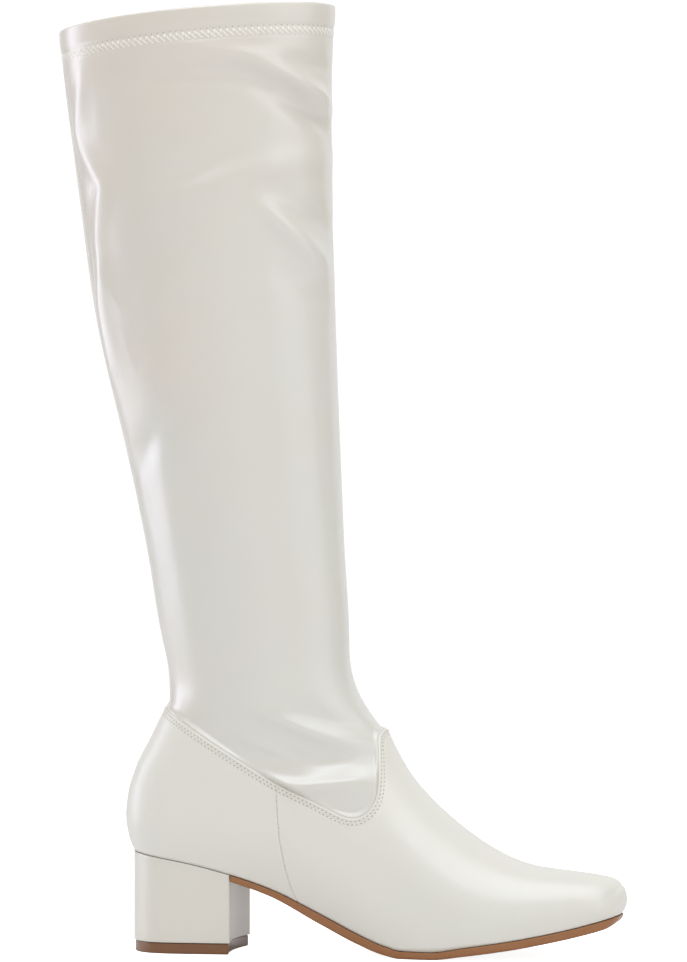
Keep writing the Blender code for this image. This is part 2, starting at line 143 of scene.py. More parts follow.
# Top edge of the upper, then its ridge from the peak on the instep down to the toe
# Each row is a station line from foot_x on the bottom edge to a point on the top edge or the ridge
TOPLINE = table("foot_x edge_x edge_z", (
    (0.0, 16.4, 124.8),
    (12.0, 25.0, 120.2),
    (30.0, 40.0, 111.2),
    (54.0, 60.9, 98.4),
    (86.5, 80.6, 87.0),
    (105.0, 100.0, 77.8),
    (121.0, 115.0, 70.8),
    (132.0, 124.5, 72.2),
    (140.0, 129.6, 80.0),
    (147.0, 130.4, 90.0),
    (153.0, 129.6, 101.0),
    (157.0, 128.8, 110.0),
    (160.0, 130.0, 114.0),
))
RIDGE = table("foot_x edge_x edge_z", (
    (160.0, 130.0, 114.0),
    (165.0, 137.0, 99.6),
    (172.0, 147.8, 84.2),
    (184.0, 165.2, 67.4),
    (197.0, 183.6, 54.2),
    (210.0, 201.4, 46.2),
    (224.0, 218.8, 43.2),
    (237.5, 236.0, 41.1),
    (246.5, 246.4, 38.9),
    (250.0, 250.2, 35.6),
))
PEAK = len(TOPLINE["foot_x"]) - 1.0
TOE = PEAK + len(RIDGE["foot_x"]) - 1.0

# Curve of the back of the heel and of the front of the toe, x at a height
BACK_CURVE = table("z x", (
    (51.2, 0.0),
    (58.0, -2.6),
    (68.6, -4.1),
    (80.0, -3.1),
    (92.7, 0.6),
    (109.2, 8.9),
    (124.8, 16.4),
))
TOE_CURVE = table("z x", (
    (21.2, 249.6),
    (24.5, 251.4),
    (28.0, 252.1),
    (32.0, 251.8),
    (35.6, 250.2),
))

# Rings of the leg from the ankle to the collar, each an oval between a back and a front point
LEG = table("back_x back_z front_x front_z outer inner", (
    (18.0, 134.0, 114.8, 133.6, 33.4, 32.8),
    (17.0, 146.0, 111.3, 146.6, 33.6, 33.0),
    (14.0, 160.0, 110.6, 162.0, 34.2, 33.6),
    (8.0, 195.0, 108.7, 196.0, 36.6, 36.0),
    (-1.0, 240.0, 106.6, 240.0, 40.2, 39.6),
    (-10.0, 280.0, 104.9, 280.0, 43.6, 43.2),
    (-19.9, 322.0, 103.4, 322.0, 46.4, 46.2),
    (-27.2, 371.0, 102.0, 371.0, 48.0, 48.0),
    (-33.3, 416.0, 101.5, 418.0, 48.0, 48.0),
    (-37.6, 449.0, 101.8, 456.0, 47.4, 47.4),
    (-39.8, 469.6, 103.2, 482.0, 46.8, 46.8),
))

# Fine sampling of the surfaces
FOOT_STATIONS = 200
FRONT_SAMPLES = 480
EDGE_SAMPLES = 241
TURN_SAMPLES = 721
SHIN_RINGS = 4
EDGE_BAND = 8.0
EDGE_ROWS = 22
WALL_ROWS = 40
SEAM_STATION = 4.0
PEAK_REACH = 0.8
PEAK_LINES = 33
LINE_GAP = 0.02
SEAM_REACH = 0.16
SEAM_LINES = 25
SEAM_STATION_MM = 22.0
LEG_SIDE_COLUMNS = 110
TUCK_ROWS = 4
LEG_ROW_COUNTS = (44, 9, 11, 25, 32, 28, 30, 34, 31, 26, 34)
COLLAR_ROLL_ROWS = 8
HEEL_SAMPLES = 160
BREAST_SAMPLES = 41
ROUND_ROWS = 6
SOLE_STEPS = 260
INSOLE_STEPS = 140
LANES = 25
LANE_CROWDING = 1.3
SEAM_SAMPLES = 80
STATION_STEP = 0.02
DEPTH_STEP = 0.1
ROW_STATIONS = 200
PEAK_STATIONS = 121
PAST_PEAK = 0.6
ROW_DEPTHS = 161
ROW_REACH = 32.0
ROW_CROWDING = 1.5
LINING_ROWS = 84
LINING_MARGIN = 1.0
EDGE_CROWDING = 1.4
FRONT_FADE = 16.0
FOLD_STEPS = 8
FOLD_REACH = 3.2
FOLD_TIP = 0.02
FOLD_POWER = 0.8
FOLD_HEM_GAP = 3.0
FOLD_HEM_FADE = 14.0
FOLD_EDGE_FADE = 3.0
SEWN_FADE = 4.0
HEM_STEP = 2.0
LINING_HEM_FADE = 24.0
LINING_EDGE_FADE = 8.0

# Seams and stitches
STITCH_DEPTHS = (1.7, 3.3)
STITCH_PITCH = 2.25
HEM_STITCH_DEPTHS = (10.6, 15.4)
HEM_STITCH_PITCH = 3.2
SEAM_PITCH = 1.9
SEAM_TOP = 5.2
SEAM_END = 3.0
BACK_SEAM_START = 0.4
SEAM_BOTTOM = 1.0
DASH_SINK = 0.12
HEM_DROP = 0.8
KNOT_LENGTH = 2.0

# Threads and needle holes: length, width and height, and for the hem's threads only width and height
EDGE_THREAD = (1.3, 0.42, 0.16)
EDGE_HOLE = (0.9, 0.75, 0.05)
SIDE_DASH = (1.9, 1.0, 0.1)
HEM_SLANT = (1.0, 0.42)
HEM_CROSS = (0.5, 0.18)
HEM_KNOT = (1.3, 0.55)
HEM_HOLE = (1.5, 1.3, 0.06)
BACK_HOLE = (1.0, 0.9, 0.1)
THREAD_RINGS = (-1.0, -0.82, 0.0, 0.82, 1.0)
THREAD_SIDES = 6
THREAD_TAPER = 0.97
THREAD_ARCH = 0.35
HOLE_SIDES = 8
HOLE_RIM_SINK = 0.12
HOLE_DEPTH = 0.3

# Reliefs: the radius of the rim, bell curves as height and spread, some with the distance of their middle
# from the edge, and how far and how high up the bottom edge turns in
RIM_ROUND = 0.8
BEAD_AT, BEAD = 0.9, (0.25, 0.5)
STITCH_GROOVE = (-0.20, 0.55)
SEAM_LIPS = (0.10, 1.5)
SEAM_GROOVE = (-0.38, 0.45)
HEM_FOLD_AT, HEM_FOLD = 5.0, (0.35, 5.0)
HEM_GROOVES = ((-0.30, 0.9), (-0.25, 0.9))
EDGE_SWELL_AT, EDGE_SWELL = 0.5, (1.5, 1.7)
BACK_GROOVE = (-0.3, 1.3)
TURN_IN = 0.15
TURN_IN_REACH = 1.2

# Edge of the outsole from its top to its bottom, as insets and shares of its height, and its tread
SOLE_EDGE = ((0.02, 0.86), (0.0, 0.7), (0.02, 0.45), (0.12, 0.25), (0.35, 0.12), (0.7, 0.04))
TREAD_START = 96.0
TREAD_END = 236.0
TREAD_PITCH = 4.0
TREAD_PHASE = 100.0
TREAD_DEPTH = 0.5
TREAD_HALF = 0.8
TREAD_FADE = 4.0
TREAD_LANE = 0.86
TREAD_LANE_FADE = 0.06
SOLE_TOP_INSET = 0.12
SOLE_BOTTOM_INSET = 1.2
BREAST_EASE = 12.0
TIP_LIMIT = 0.97

# Heel and top lift: points around, rounds of softening, and radii of the lower and the upper edge
HEEL_POINTS, HEEL_SOFTENING, HEEL_EDGES = 420, 6, (0.45, 0.15)
LIFT_POINTS, LIFT_SOFTENING, LIFT_EDGES = 360, 8, (0.7, 0.3)

# Cup of the insole under the heel: where it lies, its length, width and depth
CUP_X, CUP_LENGTH, CUP_WIDTH, CUP_DEPTH = 30.0, 24.0, 17.0, 0.7

# Studio: floor, lights as name, place, aim, width, height, power and colour, and the photo's camera
WHITE = (1.0, 1.0, 1.0, 1.0)
SHINE_TINT = (0.80, 0.83, 1.0, 1.0)
FLOOR_CORNERS = ((-2.6, -3.2), (2.6, -3.2), (2.6, 1.6), (-2.6, 1.6))
FLOOR_GLOW = 0.92
LIGHTS = (
    ("top_softbox", (0.0, 0.0, 1.8), (0.0, 0.0, 0.2), 1.6, 1.4, 12.3, (0.94, 0.97, 1.0)),
    ("toe_softbox", (1.0, -0.5, 1.4), (0.05, 0.0, 0.15), 1.2, 1.2, 3.2, (0.94, 0.97, 1.0)),
    ("front_strip", (0.0, -1.2, 1.72), (0.0, 0.0, 0.2), 1.4, 0.55, 8.7, (0.92, 0.96, 1.0)),
    ("side_softbox", (1.4, -0.55, 0.55), (0.0, 0.0, 0.2), 1.2, 1.2, 2.9, (0.94, 0.97, 1.0)),
    ("low_softbox", (0.0, -1.5, 0.05), (0.0, 0.0, 0.10), 2.6, 1.0, 3.6, (0.985, 0.99, 1.0)),
    ("back_strip", (-1.48, 0.25, 0.45), (0.0, 0.0, 0.25), 0.5, 1.4, 6.3, (0.88, 0.89, 1.0)),
    ("low_back_strip", (-1.46, -0.17, 0.02), (0.0, 0.0, 0.02), 0.4, 0.4, 1.8, (0.88, 0.89, 1.0)),
    ("back_panel", (0.0, 1.8, 0.7), (0.0, 0.0, 0.3), 3.6, 1.8, 9.0, (0.94, 0.96, 1.0)),
)
VIEW_TURN = math.radians(10.5)
VIEW_DISTANCE = 2500.0
VIEW_TARGET = np.array([108.0, 0.0, 239.6])
VIEW_SCALE = 1.965
IMAGE_HEIGHT = 962.0

# Soft folds of the leg: a ridge has a positive height, a trough a negative one
# Points run along the fold as (around, up): millimetres around the leg from the middle of the front,
# negative to the outer side, and the height over the floor
FOLDS = (
    # Wavy crest down the back of the calf
    (1.5, 6.0, ((-150, 456), (-152, 442), (-160, 422), (-156, 408), (-142, 394), (-140, 384), (-145, 364),
                (-144, 348), (-146, 332), (-145, 321), (-142, 301), (-139, 288))),
    (-0.4, 5.0, ((-144, 450), (-147, 430), (-144, 412))),
    (2.3, 10.5, ((-147, 356), (-146, 338), (-145, 320), (-142, 303), (-139, 288), (-134, 270), (-128, 254))),
    # Drag lines under the hem
    (-1.6, 6.0, ((-148, 449), (-120, 444), (-98, 443.5), (-77, 443.5), (-56, 441), (-44, 437))),
    (-1.5, 13.0, ((-148, 440), (-120, 434), (-98, 433), (-77, 433), (-56, 431), (-44, 428))),
    (1.2, 4.5, ((-104, 459), (-62, 454), (-47, 454), (-28, 459))),
    (-1.6, 4.0, ((-42, 455), (-22, 451), (8, 450))),
    (4.3, 4.6, ((-60, 451), (-39, 445), (-24, 437.5), (-5, 431), (10, 426))),
    (-3.5, 6.2, ((-60, 442), (-39, 433), (-23, 425.5), (0, 419.5), (12, 417))),
    # Pulls from the shin across the calf
    (1.5, 7.0, ((-132, 371), (-99, 381), (-83, 386), (-63, 393), (-42, 399), (-24, 402), (2, 404),
                (14, 405))),
    (-1.3, 7.0, ((-112, 384), (-94, 391.5), (-83, 396.5), (-73, 403), (-62, 411))),
    (-2.0, 7.0, ((-60, 390), (-40, 382), (-24, 375), (-3, 370), (10, 368))),
    (3.4, 6.5, ((-55, 381), (-46, 373), (-34, 363), (-18, 352), (-2, 345))),
    (-1.6, 7.0, ((-48, 350), (-28, 337), (-6, 331))),
    # Broad hollows of the calf
    (-2.0, 14.0, ((-136, 333), (-127, 339), (-114, 347), (-102, 356), (-82, 367))),
    (0.6, 9.0, ((-124, 330), (-114, 336), (-103, 343), (-84, 354))),
    (-1.2, 11.0, ((-128, 308), (-112, 314), (-88, 327))),
    # Kink below the calf and the long line under it
    (-0.95, 7.5, ((-142, 236), (-124, 250), (-114, 262), (-102, 269), (-84, 272))),
    (-0.5, 8.0, ((-119, 262), (-119, 238), (-115, 208))),
    (1.1, 10.0, ((-107, 244), (-100, 200), (-95, 172), (-92, 148), (-93, 124))),
    # Rolls over the ankle
    (0.9, 3.8, ((-98, 102), (-84, 92), (-74, 87.5), (-64, 85), (-52, 85.5))),
    (1.3, 3.4, ((-90, 96), (-78, 90), (-70, 87), (-61, 86), (-50, 86.3), (-42, 86.8), (-28, 88.6),
                (-14, 91.6), (0, 96))),
    (2.6, 8.5, ((-90, 98), (-78, 91), (-64, 85), (-42, 85), (-28, 87), (-14, 90.5), (0, 95))),
    (-1.1, 5.0, ((-76, 106), (-62, 101), (-48, 99), (-34, 98.5), (-22, 99.5), (-6, 103))),
    (2.5, 4.8, ((-70, 125), (-53, 118), (-40, 112.7), (-27, 109), (-17, 107.5), (-2, 108))),
    (-1.5, 5.0, ((-52, 127), (-43, 124), (-34, 121), (-27, 118), (-18, 115), (-4, 113))),
    (0.9, 3.5, ((-88, 111), (-69, 104.7), (-56, 99))),
    # Inner side: crest of the calf, drags under the hem, pulls over the shin and rolls over the ankle
    (1.3, 7.0, ((148, 452), (154, 430), (150, 410), (158, 388), (147, 362), (150, 338), (144, 310))),
    (1.2, 5.5, ((112, 448), (70, 445), (40, 452), (18, 459))),
    (-1.6, 5.5, ((46, 444), (28, 436), (6, 430))),
    (2.2, 7.0, ((52, 432), (30, 422), (8, 412))),
    (-1.8, 8.0, ((44, 372), (26, 364), (6, 356))),
    (2.0, 8.0, ((54, 358), (32, 349), (10, 342))),
    (-1.8, 10.0, ((112, 398), (90, 388), (66, 384))),
    (1.4, 9.0, ((118, 384), (94, 373), (60, 370))),
    (-1.4, 8.0, ((98, 284), (120, 262), (130, 236))),
    (0.9, 9.0, ((116, 250), (110, 190), (107, 150), (108, 130))),
    (3.0, 5.8, ((88, 96), (62, 88), (40, 87), (14, 96))),
    (-2.2, 5.0, ((70, 101), (46, 97), (12, 104))),
    (2.4, 5.0, ((66, 119), (40, 112), (10, 112))),
    (-1.2, 5.0, ((38, 125), (22, 121), (6, 117))),
)

# Side seam of the foot: its swing in station numbers at a share of the way down from the top edge
SIDE_SEAM = table("share swing", (
    (0.0, -0.05),
    (0.19, -0.085),
    (0.44, -0.093),
    (0.66, -0.062),
    (0.86, 0.0),
    (1.0, 0.1),
))

# Back seam: how far it swings from the middle of the back to the outer side at a height
BACK_SEAM = table("up swing", (
    (110.0, 0.0),
    (250.0, 0.0),
    (290.0, 7.0),
    (310.0, 14.0),
    (326.0, 19.0),
    (340.0, 21.0),
    (366.0, 21.0),
    (400.0, 18.0),
    (484.0, 13.0),
))


def smooth(keys, values, at):
    """Monotone cubic through the rows of a table: it keeps flat stretches flat."""
    keys, values, at = np.asarray(keys, float), np.asarray(values, float), np.asarray(at, float)
    step = np.diff(keys)
    rise = np.diff(values) / step
    slope = np.zeros_like(values)
    same = rise[:-1] * rise[1:] > 0
    weight_a, weight_b = 2 * step[1:] + step[:-1], step[1:] + 2 * step[:-1]
    with np.errstate(divide="ignore", invalid="ignore"):
        mean = (weight_a + weight_b) / (weight_a / rise[:-1] + weight_b / rise[1:])
    slope[1:-1] = np.where(same, mean, 0.0)
    slope[0], slope[-1] = rise[0], rise[-1]
    k = np.clip(np.searchsorted(keys, at) - 1, 0, len(keys) - 2)
    h = step[k]
    u = (at - keys[k]) / h
    return ((2 * u**3 - 3 * u**2 + 1) * values[k] + (u**3 - 2 * u**2 + u) * h * slope[k]
            + (3 * u**2 - 2 * u**3) * values[k + 1] + (u**3 - u**2) * h * slope[k + 1])


def fair(knots, values, row):
    """Natural cubic through key values, read at fractional row numbers.

    knots and values have the keys along their first axis, and each column has knots of its own, such as
    lengths along it. The second derivatives solve the usual three-term system, and each span is the cubic
    with those second derivatives at its two ends.
    """
    knots, values = np.asarray(knots, float), np.asarray(values, float)
    count = len(knots)
    h = np.diff(knots, axis=0)
    matrix = np.zeros((knots.shape[1], count, count))
    right = np.zeros((knots.shape[1], count, values.shape[2]))
    matrix[:, 0, 0] = matrix[:, -1, -1] = 1.0
    inner = np.arange(1, count - 1)
    matrix[:, inner, inner - 1] = h[:-1].T
    matrix[:, inner, inner] = 2.0 * (h[:-1] + h[1:]).T
    matrix[:, inner, inner + 1] = h[1:].T
    slope = np.diff(values, axis=0) / h[..., None]
    right[:, inner] = 6.0 * np.swapaxes(slope[1:] - slope[:-1], 0, 1)
    bend = np.swapaxes(np.linalg.solve(matrix, right), 0, 1)
    row = np.asarray(row, float)
    k = np.clip(np.floor(row).astype(int), 0, count - 2)
    u = (row - k)[:, None, None]
    v = 1.0 - u
    span = h[k][..., None] ** 2 / 6.0
    return v * values[k] + u * values[k + 1] + span * ((v**3 - v) * bend[k] + (u**3 - u) * bend[k + 1])


def ease(share):
    """Soft step from 0 to 1: 3 s^2 - 2 s^3."""
    share = np.clip(share, 0.0, 1.0)
    return share * share * (3.0 - 2.0 * share)


def mix(first, second, share):
    """Straight blend: share 0 gives the first, share 1 the second."""
    return (1.0 - share) * first + share * second


def bell(distance, height, spread):
    """Bell curve over a distance: height times exp(-(distance / spread)^2)."""
    return height * np.exp(-(distance / spread) ** 2)


def unit(vectors):
    """Vectors along the last axis brought to the length 1."""
    return vectors / np.maximum(np.linalg.norm(vectors, axis=-1, keepdims=True), 1e-12)


def upright(up, run):
    """Part of the normals that stands square on the directions, brought to the length 1."""
    return unit(up - (up * run).sum(1, keepdims=True) * run)


def run_lengths(points):
    """Lengths along lines of points that run along the first axis, from each line's first point."""
    step = np.linalg.norm(np.diff(points, axis=0), axis=-1)
    return np.concatenate([np.zeros_like(step[:1]), np.cumsum(step, 0)])


def read_at(at, length, values):
    """Columns of values read by straight steps at lengths along a line."""
    return np.stack([np.interp(at, length, part) for part in values.T], -1)


def by_row(values, row):
    """Rows of values as natural cubics over their row numbers."""
    return fair(np.arange(len(values), dtype=float)[:, None], values[:, None], row)[:, 0]


def sole_line(x, name):
    """Height of the seat or of the tread at x."""
    return smooth(SOLE["x"], SOLE[name], x)


def plan(x, name):
    """Centre line or half width of the bottom at x, before its ends are rounded."""
    return smooth(PLAN["x"], PLAN[name], x)


def girth(x, name):
    """Fullness of the upper at x."""
    return smooth(GIRTH["x"], GIRTH[name], x)


def end_round(distance, radius, power):
    """Share of the full width at a distance from a rounded end."""
    near = np.clip(1.0 - distance / radius, 0.0, 1.0)
    return (1.0 - near**power) ** (1.0 / power)


def half_plan(x, side, grow=0.0):
    """Half width of the bottom outline at x on one side, grown or shrunk by an even margin."""
    full = plan(x, "outer" if side < 0 else "inner") + grow
    heel = end_round(x + grow, HEEL_RADIUS + grow, HEEL_POWER)
    toe = end_round(FOOT_LENGTH + grow - x, TOE_RADIUS + grow, TOE_POWER)
    return full * heel * toe


def bow_of(curve, t):
    """How far a curved end of the foot stands off the straight line between its two end points."""
    z, x = curve["z"], curve["x"]
    return smooth(z, x, z[0] + t * (z[-1] - z[0])) - (1.0 - t) * x[0] - t * x[-1]


def edge_value(name, station):
    """One column of the top line and ridge tables at station numbers that run on from one to the other."""
    top = by_row(TOPLINE[name][:, None], np.clip(station, 0.0, PEAK))[:, 0]
    ridge = by_row(RIDGE[name][:, None], np.clip(station - PEAK, 0.0, TOE - PEAK))[:, 0]
    return np.where(station <= PEAK, top, ridge)


def polyline_distance(points, line):
    """Distance from points to the nearest place on a line of straight segments, and the share along it."""
    start, run = line[:-1], np.diff(line, axis=0)
    away = points[..., None, :] - start
    share = np.clip((away * run).sum(-1) / np.maximum((run * run).sum(-1), 1e-12), 0.0, 1.0)
    gap = np.linalg.norm(away - share[..., None] * run, axis=-1)
    nearest = gap.argmin(-1)
    along = (nearest + np.take_along_axis(share, nearest[..., None], -1)[..., 0]) / len(run)
    return gap.min(-1), along


def front_line():
    """Side outline from the top of the toe up the vamp and the instep to the shin, as a fine line."""
    station = np.linspace(TOE, PEAK, FRONT_SAMPLES)
    ridge = np.stack([edge_value("edge_x", station), edge_value("edge_z", station)], -1)
    shin = np.stack([LEG["front_x"], LEG["front_z"]], -1)[:SHIN_RINGS]
    return np.concatenate([ridge, shin])


def foot_points(side, station, depth):
    """Points of one side of the foot at station numbers and depths below the top edge or the ridge.

    Each station is a line from the bottom edge up to the top line or the ridge, bowed at the heel and
    the toe. The half width swells from the bottom outline to the girth along 1 - (1 - t / level)^2 and
    rounds off by a superellipse towards the front line, the heel and the toe.
    """
    name = "outer" if side < 0 else "inner"
    foot_x = np.clip(edge_value("foot_x", station), 0.0, FOOT_LENGTH)[:, None]
    edge_x, edge_z = edge_value("edge_x", station)[:, None], edge_value("edge_z", station)[:, None]
    low_z = sole_line(foot_x, "seat") + CLEARANCE
    t = 1.0 - depth / np.hypot(edge_x - foot_x, edge_z - low_z)
    x, z = mix(foot_x, edge_x, t), mix(low_z, edge_z, t)
    x = x + np.clip(1.0 - foot_x / HEEL_FADE, 0.0, 1.0) ** 2 * bow_of(BACK_CURVE, t)
    x = x + np.clip(1.0 - (FOOT_LENGTH - foot_x) / TOE_FADE, 0.0, 1.0) ** 2 * bow_of(TOE_CURVE, t)

    swell = 1.0 - (1.0 - np.clip(t / girth(foot_x, "level"), 0.0, 1.0)) ** 2
    low = plan(foot_x, name)
    half = low + (girth(x, name) - low) * swell
    below_front = polyline_distance(np.stack([x, z], -1), front_line())[0]
    half = half * end_round(below_front, girth(x, "depth"), girth(x, "power"))
    heel_line = t * TOPLINE["edge_x"][0] + bow_of(BACK_CURVE, t)
    toe_line = FOOT_LENGTH + t * (RIDGE["edge_x"][-1] - FOOT_LENGTH) + bow_of(TOE_CURVE, t)
    radius = HEEL_RADIUS + (HEEL_RADIUS_TOP - HEEL_RADIUS) * t**2
    half = half * end_round(x - heel_line, radius, HEEL_POWER)
    half = half * end_round(toe_line - x, TOE_RADIUS, TOE_POWER)
    half = np.where((station[:, None] >= PEAK) & (depth <= 0.0), 0.0, half)
    half = np.where((station[:, None] <= 0.0) | (station[:, None] >= TOE), 0.0, half)
    return np.stack([x, plan(x, "centre") + side * half, z], -1)


def foot_stations():
    """Station numbers from the heel to the toe, closer at both ends, at the side seam and at the peak."""
    even = np.linspace(0.0, 1.0, FOOT_STATIONS + 1)
    base = TOE * (0.55 * even + 0.45 * (0.5 - 0.5 * np.cos(np.pi * even)))
    seam = SEAM_STATION + SEAM_REACH * np.linspace(-1.0, 1.0, SEAM_LINES)
    line = np.linspace(-1.0, 1.0, PEAK_LINES)
    peak = PEAK + PEAK_REACH * line * np.abs(line)
    away = (base < seam[0] - LINE_GAP) | (base > seam[-1] + LINE_GAP)
    away &= np.abs(base - PEAK) > PEAK_REACH + LINE_GAP
    return np.sort(np.concatenate([base[away], seam, peak]))


def side_seam_station(share):
    """Station number of the side seam at a share of the way down from the top edge."""
    return SEAM_STATION + smooth(SIDE_SEAM["share"], SIDE_SEAM["swing"], share)


def foot_depths(station):
    """Depths below the top edge: squares of even steps in the edge band, then even steps to the bottom."""
    foot_x = np.clip(edge_value("foot_x", station), 0.0, FOOT_LENGTH)
    low_z = sole_line(foot_x, "seat") + CLEARANCE
    edge_x, edge_z = edge_value("edge_x", station), edge_value("edge_z", station)
    length = np.hypot(edge_x - foot_x, edge_z - low_z)[:, None]
    band = EDGE_BAND * np.linspace(0.0, 1.0, EDGE_ROWS + 1)[None, :] ** 2
    wall = EDGE_BAND + (length - EDGE_BAND) * np.linspace(0.0, 1.0, WALL_ROWS + 1)[None, 1:]
    return np.concatenate([np.broadcast_to(band, (len(station), EDGE_ROWS + 1)), wall], 1)


def vertex_normals(points, quads):
    """Unit normals at points: the sum of the faces' area normals around each."""
    corner = points[quads]
    face = np.cross(corner[:, 2] - corner[:, 0], corner[:, 3] - corner[:, 1])
    total = np.zeros_like(points)
    for k in range(4):
        np.add.at(total, quads[:, k], face)
    return unit(total)


def quads_of(index):
    """Quads of a grid of vertex numbers, facing the side from which rows run right and columns up."""
    return np.stack([index[:-1, :-1], index[1:, :-1], index[1:, 1:], index[:-1, 1:]], -1).reshape(-1, 4)


def ring_quads(lower, upper):
    """Quads between two closed loops of vertex numbers of the same length."""
    return np.stack([lower, np.roll(lower, -1), np.roll(upper, -1), upper], -1)


def top_edge_line(side):
    """Top edge of the foot on one side as a fine line."""
    station = PEAK * (1.0 - np.linspace(1.0, 0.0, EDGE_SAMPLES) ** 2)
    return foot_points(side, station, np.zeros((EDGE_SAMPLES, 1)))[:, 0]


def whole_edge_line():
    """Top edge of the foot as one fine line, up the outer side and down the inner one."""
    return np.concatenate([top_edge_line(-1), top_edge_line(1)[-2::-1]])


def edge_relief(gap):
    """Height of the folded top edge at a distance from it: a round rim, a soft bead and two grooves."""
    under = np.clip(RIM_ROUND - gap, 0.0, RIM_ROUND)
    rounding = np.sqrt(np.clip(RIM_ROUND**2 - under**2, 0.0, None)) - RIM_ROUND
    bead = bell(gap - BEAD_AT, *BEAD)
    return rounding + bead + sum(bell(gap - depth, *STITCH_GROOVE) for depth in STITCH_DEPTHS)


def foot_surface():
    """Outer face of the foot as merged points and quads, with its two boundary loops.

    Both sides are grids of stations and depths. They share the points of the heel line, of the toe line
    and of the ridge, so the face has only two edges: the top line and the bottom edge.
    """
    station = foot_stations()
    depth = foot_depths(station)
    rows, levels = depth.shape
    top_count = int(np.abs(station - PEAK).argmin()) + 1
    station[top_count - 1] = PEAK
    outer, inner = foot_points(-1, station, depth), foot_points(1, station, depth)
    outer_index = np.arange(rows * levels).reshape(rows, levels)
    inner_index = outer_index + rows * levels
    inner_index[0], inner_index[-1] = outer_index[0], outer_index[-1]
    inner_index[top_count - 1:, 0] = outer_index[top_count - 1:, 0]
    points = np.concatenate([outer.reshape(-1, 3), inner.reshape(-1, 3)])
    quads = np.concatenate([quads_of(outer_index)[:, ::-1], quads_of(inner_index)])
    top_loop = np.concatenate([outer_index[:top_count, 0], inner_index[top_count - 2:0:-1, 0]])
    bottom_loop = np.concatenate([outer_index[:, -1], inner_index[-2:0:-1, -1]])

    near = np.concatenate([depth.reshape(-1)] * 2) < 2.5 * EDGE_BAND
    gap = np.full(len(points), 1e3)
    gap[near] = polyline_distance(points[near], whole_edge_line())[0]
    relief = np.where(gap < 1.5 * EDGE_BAND, edge_relief(gap), 0.0)

    # The side seam is a fine groove between two soft lips, and the bottom edge turns in under the foot
    seam = SEAM_STATION_MM * (station[:, None] - side_seam_station(depth / depth[:, -1:]))
    seam = np.concatenate([seam.reshape(-1)] * 2)
    relief += np.where(gap > BEAD_AT, bell(seam, *SEAM_LIPS) + bell(seam, *SEAM_GROOVE), 0.0)
    up = np.concatenate([(depth[:, -1:] - depth).reshape(-1)] * 2)
    relief -= TURN_IN * np.clip(1.0 - up / TURN_IN_REACH, 0.0, 1.0) ** 2
    return points + relief[:, None] * vertex_normals(points, quads), quads, top_loop, bottom_loop


def close_wall(points, quads, loops, wall):
    """Closed shell: the face, its copy a wall further in along the normals, and a rim along each loop.

    A loop comes with a flag that turns its rim round.
    """
    count = len(points)
    shell = np.concatenate([points, points - wall * vertex_normals(points, quads)])
    rims = [ring_quads(loop + count, loop)[:, ::(-1 if flip else 1)] for loop, flip in loops]
    return shell, [quads, quads[:, ::-1] + count] + rims


def ankle_turn(points):
    """Turn of points around the ankle: 0 at the front and half a turn either way to the back."""
    return np.arctan2(points[:, 1] / ANKLE_HALF_WIDTH, (points[:, 0] - ANKLE_MIDDLE) / ANKLE_HALF_LENGTH)


def even_turn_stations():
    """Station numbers along the top line at even turns around the leg, from the back to the front."""
    station = np.linspace(0.0, PEAK, TURN_SAMPLES)
    turn = ankle_turn(foot_points(-1, station, np.zeros((TURN_SAMPLES, 1)))[:, 0])
    turn[0], turn[-1] = -np.pi, 0.0
    return np.interp(np.linspace(-np.pi, 0.0, LEG_SIDE_COLUMNS + 1), turn, station)


def edge_ring(station):
    """Closed ring along the top edge of the foot, from the back around both sides."""
    edge = np.zeros((len(station), 1))
    outer, inner = foot_points(-1, station, edge)[:, 0], foot_points(1, station, edge)[:, 0]
    return np.concatenate([outer, inner[-2:0:-1]])


def leg_keys():
    """Key rings of the leg's outer face, from just inside the upper's top edge up to the collar."""
    edge = edge_ring(even_turn_stations())
    turn = ankle_turn(edge)
    forward = 0.5 * (1.0 + np.cos(turn))
    rings = []
    for back_x, back_z, front_x, front_z, outer, inner in zip(*LEG.values()):
        half = np.where(turn < 0.0, outer, inner)
        rings.append(np.stack([back_x + (front_x - back_x) * forward, half * np.sin(turn),
                               back_z + (front_z - back_z) * forward], -1))
    rings[-1][:, 2] += COLLAR_ARC * np.sin(turn) ** 2
    normal = np.cross(np.roll(edge, -1, 0) - np.roll(edge, 1, 0), rings[0] - edge)
    inset = (UPPER_WALL + TUCK_CLEARANCE) * normal / np.linalg.norm(normal, axis=1, keepdims=True)
    return np.stack([edge - inset] + rings)


def grid_normals(grid):
    """Unit normals of a grid of rows up and closed columns around, from central differences."""
    around = np.roll(grid, -1, 1) - np.roll(grid, 1, 1)
    return unit(np.cross(around, np.gradient(grid, axis=0)))


def leg_grid():
    """Smooth outer face of the leg: a natural cubic up each column, and a tuck straight on below it."""
    keys = leg_keys()
    row = np.concatenate([[0.0]] + [k + np.arange(1, n + 1) / n for k, n in enumerate(LEG_ROW_COUNTS)])
    row = np.where(row < 1.0, row**EDGE_CROWDING, row)
    # The roll over the collar adds half a hem wall, so the face stops that far below the last ring
    last = len(LEG_ROW_COUNTS) - 1
    reach = np.linalg.norm(keys[-1] - keys[-2], axis=-1).mean()
    row = np.where(row > last, last + (row - last) * (1.0 - 0.5 * HEM_WALL / reach), row)
    face = fair(run_lengths(keys), keys, row)
    tuck = TUCK_DEPTH * np.linspace(1.0, 0.0, TUCK_ROWS, endpoint=False)[:, None, None]
    return np.concatenate([face[0] + tuck * unit(face[0] - face[1]), face])


